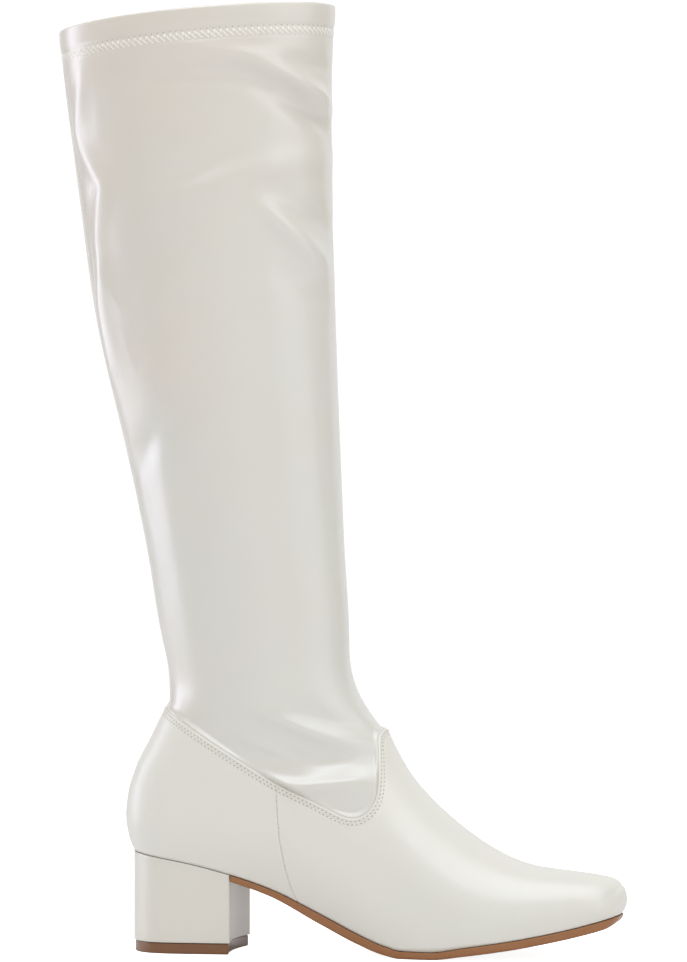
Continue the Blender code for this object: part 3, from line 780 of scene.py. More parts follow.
def leg_pattern(grid):
    """Flat pattern of the leg: millimetres around it from the middle of the front, and the height."""
    front = LEG_SIDE_COLUMNS
    step = np.linalg.norm((np.roll(grid, -1, 1) - grid)[..., :2], axis=-1)
    before = np.concatenate([np.zeros((len(grid), 1)), np.cumsum(step, 1)[:, :-1]], 1)
    return before - before[:, front:front + 1], grid[..., 2]


def fold_relief(around, up):
    """Sum of the folds: each is a bell curve over the distance to its smooth line, fading at both ends."""
    total = np.zeros_like(around)
    flat = np.stack([around, up], -1)
    for height, spread, points in FOLDS:
        line = by_row(np.array(points, float), np.linspace(0.0, len(points) - 1.0, FOLD_STEPS * len(points)))
        low, high = line.min(0) - FOLD_REACH * spread, line.max(0) + FOLD_REACH * spread
        near = ((flat > low) & (flat < high)).all(-1)
        gap, along = polyline_distance(flat[near], line)
        fade = np.sin(np.pi * np.clip(along, FOLD_TIP, 1.0 - FOLD_TIP)) ** FOLD_POWER
        total[near] += bell(gap, height * fade, spread)
    return total


def hem_relief(down):
    """Height of the hem at a distance down from the collar: a soft fold above two sewn rows."""
    return bell(down - HEM_FOLD_AT, *HEM_FOLD) + sum(
        bell(down - depth, *groove) for depth, groove in zip(HEM_STITCH_DEPTHS, HEM_GROOVES))


def back_seam(around, up):
    """Where the back seam runs: the distance around the leg at each row of its pattern."""
    return around[:, 0] + BACK_SEAM_START + smooth(BACK_SEAM["up"], BACK_SEAM["swing"], up[:, 0])


def leg_surface():
    """Outer face and lining of the leg, their flat pattern and the distance down from the collar.

    The face carries the folds, the hem, a soft groove along the back seam and a swell where it leans on the
    upper's edge. The lining lies a wall behind it, thicker in the hem, and follows the folds by half.
    """
    grid = leg_grid()
    normal = grid_normals(grid)
    around, up = leg_pattern(grid)
    step = np.linalg.norm(np.diff(grid, axis=0), axis=-1)
    down = np.concatenate([np.cumsum(step[::-1], 0)[::-1], np.zeros((1, grid.shape[1]))])
    # Folds die out towards the hem, the upper's edge and the middle of the front, and nothing lifts the tuck
    over = down[TUCK_ROWS] - down
    folds = fold_relief(around, up) * ease((down - FOLD_HEM_GAP) / FOLD_HEM_FADE)
    folds = folds * ease(over / FOLD_EDGE_FADE) * ease(np.abs(around) / FRONT_FADE)
    swell = bell(over - EDGE_SWELL_AT, *EDGE_SWELL)
    sewn = bell(around - back_seam(around, up)[:, None], *BACK_GROOVE)
    sewn = sewn * ease((down - HEM_DEPTH) / SEWN_FADE) * ease(over / SEWN_FADE)
    hem = hem_relief(down)
    face = grid + (folds + swell + sewn + hem)[..., None] * normal
    wall = SHAFT_WALL + (HEM_WALL - SHAFT_WALL) * np.clip(1.0 - (down - HEM_DEPTH) / HEM_STEP, 0.0, 1.0)
    margin = LINING_MARGIN * ease((down - HEM_DEPTH) / LINING_HEM_FADE) * ease(over / LINING_EDGE_FADE)
    wall = wall + margin
    return face, grid + (0.5 * folds + hem - wall)[..., None] * normal, around, up, down


def leg_shell(grid, inside):
    """Closed tube of the leg: the outer face, a round roll over the collar and the lining down the inside.

    The roll is a half circle from the outer face to the inner one. The number of outer rows comes with it.
    """
    rise = unit(grid[-1] - grid[-2])
    angle = np.linspace(0.0, np.pi, COLLAR_ROLL_ROWS + 2)[1:-1, None, None]
    middle, reach = 0.5 * (grid[-1] + inside[-1]), 0.5 * HEM_WALL
    roll = middle + reach * (np.cos(angle) * grid_normals(grid)[-1] + np.sin(angle) * rise)
    pick = np.unique(np.linspace(0, len(grid) - 1, LINING_ROWS).astype(int))[::-1]
    return np.concatenate([grid, roll, inside[pick]]), len(grid) + COLLAR_ROLL_ROWS // 2


def even_loop(points, count):
    """Closed loop read at even lengths along itself."""
    closed = np.concatenate([points, points[:1]])
    length = run_lengths(closed)
    return read_at(np.linspace(0.0, length[-1], count, endpoint=False), length, closed)


def soften(loop, passes):
    """Closed loop with rounded corners: each pass takes half of a point and a quarter of both neighbours."""
    for _ in range(passes):
        loop = 0.25 * np.roll(loop, 1, 0) + 0.5 * loop + 0.25 * np.roll(loop, -1, 0)
    return loop


def inward(loop):
    """Unit normals in plan that point into a loop running against the clock."""
    along = np.roll(loop, -1, 0) - np.roll(loop, 1, 0)
    return unit(np.stack([-along[:, 1], along[:, 0]], -1))


def breast_x(lane):
    """Hollow front of the heel, as x across its lanes."""
    return BREAST_X - BREAST_HOLLOW * (1.0 - lane**2)


def heel_loop(inset, count, passes):
    """Plan of the heel against the clock: inner side, round back, outer side and the hollow breast."""
    u = np.linspace(0.0, 1.0, HEEL_SAMPLES)
    lane = np.linspace(-1.0, 1.0, BREAST_SAMPLES)
    x = inset + (BREAST_X - 2.0 * inset) * (1.0 - np.cos(0.5 * np.pi * u))
    outer = np.stack([x, -half_plan(x, -1, -inset)], -1)
    inner = np.stack([x, half_plan(x, 1, -inset)], -1)
    front_y = np.where(lane < 0.0, -lane * outer[-1, 1], lane * inner[-1, 1])
    front = np.stack([breast_x(lane) - inset, front_y], -1)
    return soften(even_loop(np.concatenate([inner[:0:-1], outer[:-1], front]), count), passes)


def tower(loops):
    """Closed body through loops of the same length from the bottom to the top, with a fan at both ends."""
    count = len(loops[0])
    points = np.concatenate(list(loops) + [loops[0].mean(0)[None], loops[-1].mean(0)[None]])
    index = np.arange(len(loops) * count).reshape(len(loops), count)
    quads = np.concatenate([ring_quads(low, high) for low, high in zip(index[:-1], index[1:])])
    low, high = index[0], index[-1]
    bottom, top = np.full(count, len(points) - 2), np.full(count, len(points) - 1)
    fans = np.concatenate([np.stack([bottom, np.roll(low, -1), low], -1),
                           np.stack([high, np.roll(high, -1), top], -1)])
    return points, [quads, fans]


def shrunk(loop, share):
    """Loop drawn towards its middle."""
    middle = loop.mean(0)
    return middle + share * (loop - middle)


def block(loop, low, high, edges, walls):
    """Closed block between two heights over a loop, with quarter rounds along its lower and upper edges.

    Its rows are a share of the height, a step up and an inset. edges gives the radii of the rounds, and
    walls the shares between them.
    """
    low_round, high_round = edges
    edge = 0.5 * np.pi * np.linspace(0.0, 1.0, ROUND_ROWS)
    profile = [(0.0, low_round * (1.0 - np.cos(a)), low_round * (1.0 - np.sin(a))) for a in edge]
    profile += [(share, 0.0, 0.0) for share in walls]
    profile += [(1.0, -high_round * (1.0 - np.sin(a)), high_round * (1.0 - np.cos(a))) for a in edge]
    normal = inward(loop)
    rows = [np.concatenate([loop + inset * normal, (low + share * (high - low) + step)[:, None]], 1)
            for share, step, inset in profile]
    start = [shrunk(rows[0], 0.4), shrunk(rows[0], 0.8)]
    return tower(start + rows + [shrunk(rows[-1], 0.8), shrunk(rows[-1], 0.4)])


def heel_body():
    """Covered block heel: upright walls from the top lift to the slanted seat, with fine rounded edges."""
    loop = heel_loop(0.0, HEEL_POINTS, HEEL_SOFTENING)
    low = np.full(len(loop), LIFT_HEIGHT + CLEARANCE)
    high = sole_line(np.clip(loop[:, 0], 0.0, None), "seat")
    return block(loop, low, high, HEEL_EDGES, np.linspace(0.05, 0.95, 22))


def lift_body():
    """Top lift: a flat brown slab under the heel, a little smaller, with rounded edges."""
    loop = heel_loop(LIFT_INSET, LIFT_POINTS, LIFT_SOFTENING)
    low, high = np.zeros(len(loop)), np.full(len(loop), LIFT_HEIGHT)
    return block(loop, low, high, LIFT_EDGES, np.linspace(0.2, 0.9, 6))


def plan_grid(x, lane, grow):
    """Grid over the bottom outline: rows along the foot, lanes across it."""
    outer, inner = half_plan(x, -1, grow), half_plan(x, 1, grow)
    return plan(x, "centre") + np.where(lane < 0.0, lane * outer, lane * inner)


def slab(top, bottom, rings):
    """Closed body between two grids of the same layout, with rings of points down its edge between them."""
    rows, lanes = top.shape[:2]
    index = np.arange(rows * lanes).reshape(rows, lanes)
    rim = np.concatenate([index[:, 0], index[-1, 1:], index[-2::-1, -1], index[0, -2:0:-1]])
    points = [top.reshape(-1, 3), bottom.reshape(-1, 3)] + [ring.reshape(-1, 3)[rim] for ring in rings]
    loops = [rim]
    loops += [2 * rows * lanes + k * len(rim) + np.arange(len(rim)) for k in range(len(rings))]
    loops += [rim + rows * lanes]
    faces = [quads_of(index), quads_of(index + rows * lanes)[:, ::-1]]
    faces += [ring_quads(below, above) for above, below in zip(loops[:-1], loops[1:])]
    return np.concatenate(points), faces


def sole_rows(first, last, count):
    """Even steps along the foot that draw closer to the toe."""
    u = np.linspace(0.0, 1.0, count + 1)
    return first + (last - first) * (0.75 * u + 0.25 * np.sin(0.5 * np.pi * u))


def outsole_body():
    """Outsole from the heel breast to the toe: an even rounded edge and a tread of fine cross grooves.

    Its underside rises to the seat in a quarter round at the tip of the toe.
    """
    lane = np.linspace(-1.0, 1.0, LANES)[None, :]
    lane = np.sign(lane) * (1.0 - (1.0 - np.abs(lane)) ** LANE_CROWDING)
    line = sole_rows(BREAST_X, FOOT_LENGTH + SOLE_OUTSET, SOLE_STEPS)[:, None]
    share = (line - BREAST_X) / (FOOT_LENGTH + SOLE_OUTSET - BREAST_X)
    start = breast_x(lane) + CLEARANCE
    x = line + (start - BREAST_X) * np.clip(1.0 - share * BREAST_EASE, 0.0, 1.0)

    def layer(inset, height):
        grow = SOLE_OUTSET - inset
        near = np.minimum(x, FOOT_LENGTH + grow)
        y = plan_grid(near, lane, grow)
        seat, tread = sole_line(near, "seat"), sole_line(near, "bottom")
        end = np.clip(1.0 - (FOOT_LENGTH + SOLE_OUTSET - near) / TIP_ROUND, 0.0, TIP_LIMIT)
        tread = tread + (1.0 - np.sqrt(1.0 - end**2)) * (seat - tread)
        return np.stack(np.broadcast_arrays(near, y, tread + height * (seat - tread)), -1)

    bottom = layer(SOLE_BOTTOM_INSET, 0.0)
    beside = np.abs((x - TREAD_PHASE) % TREAD_PITCH - 0.5 * TREAD_PITCH)
    groove = np.clip(1.0 - beside / TREAD_HALF, 0.0, 1.0)
    field = np.clip((TREAD_LANE - np.abs(lane)) / TREAD_LANE_FADE, 0.0, 1.0)
    field = field * np.clip((x - TREAD_START) / TREAD_FADE, 0.0, 1.0)
    bottom[..., 2] += TREAD_DEPTH * groove * field * np.clip((TREAD_END - x) / TREAD_FADE, 0.0, 1.0)
    return slab(layer(SOLE_TOP_INSET, 1.0), bottom, [layer(*row) for row in SOLE_EDGE])


def insole_body():
    """Insole on the sole and the heel: a soft slab with a rounded edge and a shallow cup under the heel."""
    lane = np.linspace(-1.0, 1.0, LANES)[None, :]
    share = 0.5 - 0.5 * np.cos(np.pi * np.linspace(0.0, 1.0, INSOLE_STEPS + 1))[:, None]

    def layer(inset, height):
        grow = -INSOLE_INSET - inset
        x = -grow + (FOOT_LENGTH + 2.0 * grow) * share
        z = sole_line(x, "seat") + INSOLE_LIFT + height * INSOLE_THICK
        return np.stack(np.broadcast_arrays(x, plan_grid(x, lane, grow), z), -1)

    top = layer(0.7, 1.0)
    cup = np.exp(-((top[..., 0] - CUP_X) / CUP_LENGTH) ** 2 - (top[..., 1] / CUP_WIDTH) ** 2)
    top[..., 2] -= CUP_DEPTH * cup
    return slab(top, layer(0.0, 0.0), [layer(0.2, 0.92), layer(0.0, 0.7)])


def along_path(path, normal, pitch, start=0.5, closed=False):
    """Places at an even pitch along a path: points, directions, normals and sideways directions."""
    if closed:
        path, normal = np.concatenate([path, path[:1]]), np.concatenate([normal, normal[:1]])
    length = run_lengths(path)
    count = int(round(length[-1] / pitch)) if closed else int(length[-1] / pitch)
    at = (np.arange(count) + start) * (length[-1] / count)
    run = unit(read_at(at + 0.3, length, path) - read_at(at - 0.3, length, path))
    up = upright(read_at(at, length, normal), run)
    return read_at(at, length, path), run, up, np.cross(up, run)


def between(start, end, up):
    """Places of threads that run from starts to ends, as along_path gives them, and their mean length."""
    run = unit(end - start)
    up = upright(up, run)
    return (0.5 * (start + end), run, up, np.cross(up, run)), np.linalg.norm(end - start, axis=1).mean()


def threads(point, run, up, side, length, width, height):
    """Stitches: each is a thread of oval section along its direction, tapered to both ends.

    A stitch is a grid of rings of points. A ring lies across the stitch and shrinks towards the ends as
    the root of 1 - taper s^4, and the middle of the stitch arches up over its ends.
    """
    along = np.array(THREAD_RINGS)
    ring = np.arange(THREAD_SIDES) * np.pi / (0.5 * THREAD_SIDES)
    size = np.sqrt(1.0 - THREAD_TAPER * along**4)[:, None]
    sideways = 0.5 * width * size * np.cos(ring)[None, :]
    lift = height * size * np.sin(ring)[None, :] - THREAD_ARCH * height * (along**2)[:, None]
    grid = (point[:, None, None] + run[:, None, None] * (0.5 * length * along)[None, :, None, None]
            + side[:, None, None] * sideways[None, ..., None]
            + up[:, None, None] * lift[None, ..., None])
    index = np.arange(grid[..., 0].size).reshape(grid.shape[:-1])
    nxt = np.roll(index, -1, 2)
    wall = np.stack([index[:, :-1], index[:, 1:], nxt[:, 1:], nxt[:, :-1]], -1).reshape(-1, 4)
    ends = np.concatenate([index[:, 0], index[:, -1, ::-1]])
    return grid.reshape(-1, 3), [wall[:, ::-1], ends[:, ::-1]]


def needle_holes(point, run, up, side, long, wide, lift):
    """Needle holes: dark ovals of painted shade that lie just above the face, as shallow cones."""
    ring = np.arange(HOLE_SIDES) * np.pi / (0.5 * HOLE_SIDES)
    rim = (point[:, None] + 0.5 * long * run[:, None] * np.cos(ring)[None, :, None]
           + 0.5 * wide * side[:, None] * np.sin(ring)[None, :, None] - HOLE_RIM_SINK * up[:, None])
    top, low = point + lift * up, point - HOLE_DEPTH * up
    count = len(point)
    points = np.concatenate([rim.reshape(-1, 3), top, low])
    index = np.arange(count * HOLE_SIDES).reshape(count, HOLE_SIDES)
    nxt = np.roll(index, -1, 1)
    peak = np.repeat((count * HOLE_SIDES + np.arange(count))[:, None], HOLE_SIDES, 1)
    fan = np.stack([index, nxt, peak], -1).reshape(-1, 3)
    under = np.stack([nxt, index, peak + count], -1).reshape(-1, 3)
    return points, [fan, under]


def group_sockets(name, inputs, outputs):
    """New shader node group with sockets of the named kinds, and its two end nodes."""
    group = bpy.data.node_groups.new(name, "ShaderNodeTree")
    for way, sockets in (("INPUT", inputs), ("OUTPUT", outputs)):
        for label, kind in sockets.items():
            group.interface.new_socket(name=label, in_out=way, socket_type="NodeSocket" + kind)
    return group, group.nodes.new("NodeGroupInput"), group.nodes.new("NodeGroupOutput")


def fill(made, **values):
    """Set a node's input values and settings, with _ for each space in an input's name."""
    for key, value in values.items():
        name = key.replace("_", " ")
        if name in made.inputs:
            made.inputs[name].default_value = value
        else:
            setattr(made, key, value)
    return made


def node(tree, kind, **values):
    """New shader node with some of its input values and settings."""
    return fill(tree.nodes.new("ShaderNode" + kind), **values)


def wire(tree, *links):
    """Link sockets: each link is a node, its output, another node and its input."""
    for source, output, target, entry in links:
        tree.links.new(source.outputs[output], target.inputs[entry])


def pearl_and_shade_group():
    """Pearly tint: broad soft patches between a warm and a cool shade, shifted by a drift over the boot; on
    the leg that drift is painted shade.
    """
    group, start, end = group_sockets(
        "pearl tint and painted shade", {"Warm": "Color", "Cool": "Color", "Size": "Float", "Drift": "Vector",
                       "Bias": "Float"}, {"Color": "Color"})
    place = node(group, "TexCoord")
    broad = node(group, "TexNoise", Detail=2.0, Roughness=0.45)
    drift = node(group, "VectorMath", operation="DOT_PRODUCT")
    patchy, shifted = node(group, "Math", operation="ADD"), node(group, "Math", operation="ADD")
    ramp = node(group, "MapRange", interpolation_type="SMOOTHSTEP", From_Min=0.15, From_Max=0.85)
    blend = node(group, "Mix", data_type="RGBA")
    wire(group, (place, "Object", broad, "Vector"), (start, "Size", broad, "Scale"),
         (place, "Object", drift, 0), (start, "Drift", drift, 1),
         (broad, "Fac", patchy, 0), (drift, "Value", patchy, 1),
         (patchy, "Value", shifted, 0), (start, "Bias", shifted, 1),
         (shifted, "Value", ramp, "Value"), (ramp, "Result", blend, "Factor"),
         (start, "Warm", blend, "A"), (start, "Cool", blend, "B"), (blend, "Result", end, "Color"))
    return group


def grain_group():
    """Leather grain: fine cells with soft edges over a slow swell, as a height, and a mask of its pores."""
    group, start, end = group_sockets("leather grain", {"Scale": "Float", "Swell": "Float"},
                                      {"Height": "Float", "Pores": "Float"})
    place = node(group, "TexCoord")
    cells = node(group, "TexVoronoi", feature="SMOOTH_F1", Smoothness=0.6, Randomness=1.0)
    slow = node(group, "TexNoise", Scale=160.0, Detail=3.0, Roughness=0.5)
    swell, total = node(group, "Math", operation="MULTIPLY"), node(group, "Math", operation="ADD")
    wire(group, (place, "Object", cells, "Vector"), (place, "Object", slow, "Vector"),
         (start, "Scale", cells, "Scale"), (slow, "Fac", swell, 0), (start, "Swell", swell, 1),
         (cells, "Distance", total, 0), (swell, "Value", total, 1),
         (total, "Value", end, "Height"), (cells, "Distance", end, "Pores"))
    return group


def streak_group():
    """Streaks and specks of moulded and cut edges: stretched noise between a light and a dark shade."""
    group, start, end = group_sockets("sole streaks", {"Light": "Color", "Dark": "Color"},
                                      {"Color": "Color", "Height": "Float"})
    place = node(group, "TexCoord")
    squash = node(group, "Mapping", Scale=(60.0, 60.0, 700.0))
    streak = node(group, "TexNoise", Scale=1.0, Detail=4.0, Roughness=0.6)
    speck = node(group, "TexNoise", Scale=900.0, Detail=2.0, Roughness=0.6)
    weak, total = node(group, "Math", operation="MULTIPLY"), node(group, "Math", operation="MULTIPLY_ADD")
    weak.inputs[1].default_value, total.inputs[1].default_value = 0.35, 0.65
    blend = node(group, "Mix", data_type="RGBA")
    wire(group, (place, "Object", squash, "Vector"), (squash, "Vector", streak, "Vector"),
         (place, "Object", speck, "Vector"), (speck, "Fac", weak, 0),
         (streak, "Fac", total, 0), (weak, "Value", total, 2), (total, "Value", blend, "Factor"),
         (start, "Light", blend, "A"), (start, "Dark", blend, "B"),
         (blend, "Result", end, "Color"), (total, "Value", end, "Height"))
    return group


def new_look(name, roughness, coat=0.0, coat_roughness=0.1, strength=0.0, distance=0.001):
    """New material with its Principled shader and a bump of a strength and distance before its normal."""
    look = bpy.data.materials.new(name)
    look.use_nodes = True
    tree = look.node_tree
    shader = fill(tree.nodes["Principled BSDF"], Roughness=roughness, Coat_Weight=coat,
                  Coat_Roughness=coat_roughness)
    bump = node(tree, "Bump", Strength=strength, Distance=distance)
    wire(tree, (bump, "Normal", shader, "Normal"))
    return look, tree, shader, bump


def leather_look(name, warm, cool, roughness, gloss, grain, drift=(0.0, 0.0, 0.0), bias=0.0):
    """Satin leather: pearly tint with painted shade where it drifts, fine grain in the bump, and a roughness
    that follows the pores.

    gloss is the weight and the roughness of the clear coat and the level of the skin's own shine.
    """
    look, tree, shader, bump = new_look(name, roughness, gloss[0], gloss[1], 0.25, 0.00006)
    fill(shader, Specular_IOR_Level=gloss[2], Specular_Tint=SHINE_TINT)
    tint = node(tree, "Group", node_tree=pearl_tint_and_shade, Warm=(*warm, 1.0), Cool=(*cool, 1.0), Size=16.0,
                Drift=drift, Bias=bias)
    skin = node(tree, "Group", node_tree=leather_grain, Scale=grain, Swell=0.5)
    spread = node(tree, "MapRange", To_Min=roughness - 0.04, To_Max=roughness + 0.06)
    wire(tree, (tint, "Color", shader, "Base Color"), (skin, "Pores", spread, "Value"),
         (spread, "Result", shader, "Roughness"), (skin, "Height", bump, "Height"))
    return look


def sole_look(name, light, dark, roughness, coat):
    """Coloured sole material with fine streaks along its edge."""
    look, tree, shader, bump = new_look(name, roughness, coat, 0.15, 0.3, 0.0001)
    streaks = node(tree, "Group", node_tree=sole_streaks, Light=(*light, 1.0), Dark=(*dark, 1.0))
    wire(tree, (streaks, "Color", shader, "Base Color"), (streaks, "Height", bump, "Height"))
    return look


def cloth_look(name, light, dark, pitch, by_pattern):
    """Knitted cloth: crossed waves at the pitch of the threads, darker between them."""
    look, tree, shader, bump = new_look(name, 0.9, strength=0.5, distance=0.0003)
    fill(shader, Sheen_Weight=0.2)
    place = node(tree, "TexCoord")
    cross = node(tree, "Math", operation="MULTIPLY")
    for k, direction in enumerate("XY"):
        wave = node(tree, "TexWave", bands_direction=direction, Scale=0.314 / pitch, Distortion=0.6,
                    Detail_Scale=3.0)
        wire(tree, (place, "UV" if by_pattern else "Object", wave, "Vector"), (wave, "Fac", cross, k))
    blend = node(tree, "Mix", data_type="RGBA", A=(*dark, 1.0), B=(*light, 1.0))
    wire(tree, (cross, "Value", blend, "Factor"), (blend, "Result", shader, "Base Color"),
         (cross, "Value", bump, "Height"))
    return look


def thread_look(name, light, dark, roughness):
    """Sewing thread, and the painted shade of needle holes and seams: fine twisted streaks between a light
    and a darker shade.
    """
    look, tree, shader, bump = new_look(name, roughness, strength=0.4, distance=0.00008)
    place = node(tree, "TexCoord")
    twist = node(tree, "TexNoise", Scale=2600.0, Detail=2.0)
    blend = node(tree, "Mix", data_type="RGBA", A=(*light, 1.0), B=(*dark, 1.0))
    wire(tree, (place, "Object", twist, "Vector"), (twist, "Fac", blend, "Factor"),
         (twist, "Fac", bump, "Height"), (blend, "Result", shader, "Base Color"))
    return look


def piece(name, points, faces, looks, slot, nodes=(), look_of=None, weld=False, pattern=None):
    """Named mesh on the boot's body, from points in millimetres and blocks of faces.

    look_of gives each block of faces the number of its look, weld joins doubled points, and pattern is a
    flat coordinate for each point, kept as a UV map in metres.
    """
    mesh = bpy.data.meshes.new(name)
    corners = [row for rows in faces for row in rows.tolist()]
    mesh.from_pydata(((points - origin) * MM).tolist(), [], corners)
    for look in looks:
        mesh.materials.append(look)
    if look_of:
        mesh.polygons.foreach_set("material_index", np.repeat(look_of, [len(rows) for rows in faces]))
    if pattern is not None:
        corner = np.empty(len(mesh.loops), int)
        mesh.loops.foreach_get("vertex_index", corner)
        mesh.uv_layers.new(name="pattern").data.foreach_set("uv", (pattern[corner] * MM).ravel())
    if weld:
        work = bmesh.new()
        work.from_mesh(mesh)
        bmesh.ops.remove_doubles(work, verts=work.verts, dist=1e-6)
        work.to_mesh(mesh)
        work.free()
    mesh.polygons.foreach_set("use_smooth", np.ones(len(mesh.polygons), bool))
    mesh.update()
    made = bpy.data.objects.new(name, mesh)
    bpy.context.scene.collection.objects.link(made)
    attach(made, "root")
    if nodes:
        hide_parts(*nodes)


def join(bodies):
    """Several bodies of points and face blocks as one."""
    points, faces, first = [], [], 0
    for body_points, body_faces in bodies:
        points.append(body_points)
        faces += [rows + first for rows in body_faces]
        first += len(body_points)
    return np.concatenate(points), faces


def softbox(name, place, aim, width, height, power, colour):
    """Area light at a place in metres, turned to a point."""
    lamp = bpy.data.lights.new(name, "AREA")
    lamp.shape, lamp.size, lamp.size_y = "RECTANGLE", width, height
    lamp.energy, lamp.color = power, colour
    made = bpy.data.objects.new(name, lamp)
    made.location = place
    made.rotation_euler = (Vector(aim) - Vector(place)).to_track_quat("-Z", "Y").to_euler()
    made.visible_camera = False
    bpy.context.scene.collection.objects.link(made)


def leg_line(grid, normal, down, depth):
    """Closed line around the leg at a depth below the collar, with the face's normals."""
    row = (down > depth).sum(0) - 1
    turn = np.arange(grid.shape[1])
    share = ((down[row, turn] - depth) / (down[row, turn] - down[row + 1, turn]))[:, None]
    return [mix(part[row, turn], part[row + 1, turn], share) for part in (grid, normal)]


def seam_line(grid, normal, around, up):
    """Line of the back seam up the leg, with the face's normals."""
    wanted = back_seam(around, up)
    row = np.arange(len(grid))
    col = (around < wanted[:, None]).sum(1) - 1
    share = ((wanted - around[row, col]) / (around[row, col + 1] - around[row, col]))[:, None]
    return [mix(part[row, col], part[row, col + 1], share) for part in (grid, normal)]


def side_seam_line(side):
    """Line of the side seam down one side of the foot, from below the stitches, with the face's normals."""
    share = np.linspace(0.0, 1.0, SEAM_SAMPLES)
    station = side_seam_station(share)
    length = foot_depths(station)[:, -1]
    depth = np.clip(share * length, SEAM_TOP, length - SEAM_BOTTOM)[:, None]
    across = (foot_points(side, station + STATION_STEP, depth)
              - foot_points(side, station - STATION_STEP, depth))
    down = foot_points(side, station, depth + DEPTH_STEP) - foot_points(side, station, depth - DEPTH_STEP)
    kept = (share * length > SEAM_TOP) & (share * length < length - SEAM_BOTTOM)
    normal = unit(side * np.cross(across, down)[:, 0])
    return foot_points(side, station, depth)[kept, 0], normal[kept]


def edge_rows(gaps):
    """Closed lines on the foot at even distances from its top edge, each with the face's normals.

    Every station line is walked down until its distance from the edge reaches the wanted one. Past the peak
    the station lines start on the ridge, and they end where the ridge itself lies that far from the edge.
    """
    station = np.concatenate([np.linspace(0.0, PEAK - 1.0, ROW_STATIONS),
                              np.linspace(PEAK - 1.0, PEAK + PAST_PEAK, PEAK_STATIONS)[1:]])
    depth = ROW_REACH * np.linspace(0.0, 1.0, ROW_DEPTHS) ** ROW_CROWDING
    depth = np.broadcast_to(depth, (len(station), ROW_DEPTHS))
    edge = whole_edge_line()
    sides = []
    for side in (-1, 1):
        grid = foot_points(side, station, depth)
        normal = np.cross(np.gradient(grid, axis=0), np.gradient(grid, axis=1)) * side
        normal = normal / np.maximum(np.linalg.norm(normal, axis=-1, keepdims=True), 1e-9)
        sides.append((grid, normal, polyline_distance(grid, edge)[0]))
    rows = []
    for wanted in gaps:
        halves = []
        for grid, normal, gap in sides:
            level = (gap < wanted).sum(1)
            kept = np.flatnonzero(level > 0)
            low, high = level[kept] - 1, np.minimum(level[kept], gap.shape[1] - 1)
            share = (wanted - gap[kept, low]) / np.maximum(gap[kept, high] - gap[kept, low], 1e-9)
            share = np.clip(share, 0.0, 1.0)[:, None]
            halves.append([mix(part[kept, low], part[kept, high], share) for part in (grid, normal)])
        rows.append([np.concatenate([outer, inner[:0:-1]]) for outer, inner in zip(*halves)])
    return rows


# Looks
pearl_tint_and_shade, leather_grain, sole_streaks = pearl_and_shade_group(), grain_group(), streak_group()
foot_leather = leather_look("ivory_leather", (0.775, 0.740, 0.660), (0.767, 0.750, 0.672), 0.42,
                            (0.4, 0.32, 1.0), 1700.0)
# On the leg the tint drifts to its warmer, slightly darker shade towards the back and the top: painted shade
leg_leather = leather_look("ivory_stretch_leather", (0.724, 0.666, 0.584), (0.706, 0.686, 0.616), 0.33,
                           (0.85, 0.24, 1.0), 2000.0, (2.2, 0.0, -1.1), 0.44)
heel_leather = leather_look("ivory_heel_cover", (0.728, 0.686, 0.602), (0.720, 0.696, 0.612), 0.34,
                            (0.5, 0.24, 0.75), 1700.0)
sewing_thread = thread_look("ivory_thread", (0.95, 0.93, 0.86), (0.84, 0.81, 0.73), 0.6)
# The needle hole, side seam and seam looks are painted shade: dark colour where holes and seams lie in
# shadow
hole_shade = thread_look("needle_hole_painted_shade", (0.22, 0.205, 0.16), (0.15, 0.14, 0.11), 0.8)
side_painted_shade = thread_look("side_seam_shade", (0.70, 0.66, 0.57), (0.62, 0.58, 0.49), 0.8)
painted_seam_shade = thread_look("painted_seam_shade", (0.60, 0.57, 0.50), (0.52, 0.49, 0.42), 0.8)
sole_tan = sole_look("tan_sole", (0.36, 0.15, 0.05), (0.28, 0.108, 0.034), 0.42, 0.2)
lift_brown = sole_look("brown_top_lift", (0.22, 0.088, 0.024), (0.165, 0.062, 0.016), 0.32, 0.4)
lining_knit = cloth_look("knit_lining", (0.80, 0.77, 0.72), (0.66, 0.63, 0.58), 0.0012, True)
insole_cloth = cloth_look("insole_cloth", (0.72, 0.67, 0.60), (0.58, 0.53, 0.47), 0.0014, False)

# The tables' x starts at the heel seat; the frame's origin is the middle of the box on the floor
origin = np.array([LEG["back_x"][-1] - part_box("shaft")[0][0] / MM, 0.0, 0.0])

foot_face, foot_quads, foot_top, foot_bottom = foot_surface()
foot_body = close_wall(foot_face, foot_quads, [(foot_top, True), (foot_bottom, False)], UPPER_WALL)
piece("upper_skin", *foot_body, [foot_leather, lining_knit], "upper", ["upper"], [0, 1, 0, 0], True)

leg_face, leg_inside, leg_around, leg_up, leg_down = leg_surface()
leg_tube, leg_split = leg_shell(leg_face, leg_inside)
leg_index = np.arange(leg_tube.shape[0] * leg_tube.shape[1]).reshape(leg_tube.shape[:2])
leg_rings = [ring_quads(low, high) for low, high in zip(leg_index, np.roll(leg_index, -1, 0))]
leg_looks = [0] * leg_split + [1] * (len(leg_rings) - leg_split)
leg_flat = np.stack([np.broadcast_to(leg_around[-1], leg_tube.shape[:2]), leg_tube[..., 2]], -1)
piece("leg_skin", leg_tube.reshape(-1, 3), leg_rings, [leg_leather, lining_knit], "shaft", ["shaft"],
      leg_looks, False, leg_flat.reshape(-1, 2))

piece("heel_cover", *heel_body(), [heel_leather], "heel", ["heel"])
piece("top_lift_slab", *lift_body(), [lift_brown], "top_lift", ["top_lift"])
piece("outsole_tread", *outsole_body(), [sole_tan], "outsole", ["outsole"], None, True)
piece("insole_pad", *insole_body(), [insole_cloth], "insole", ["insole"], None, True)

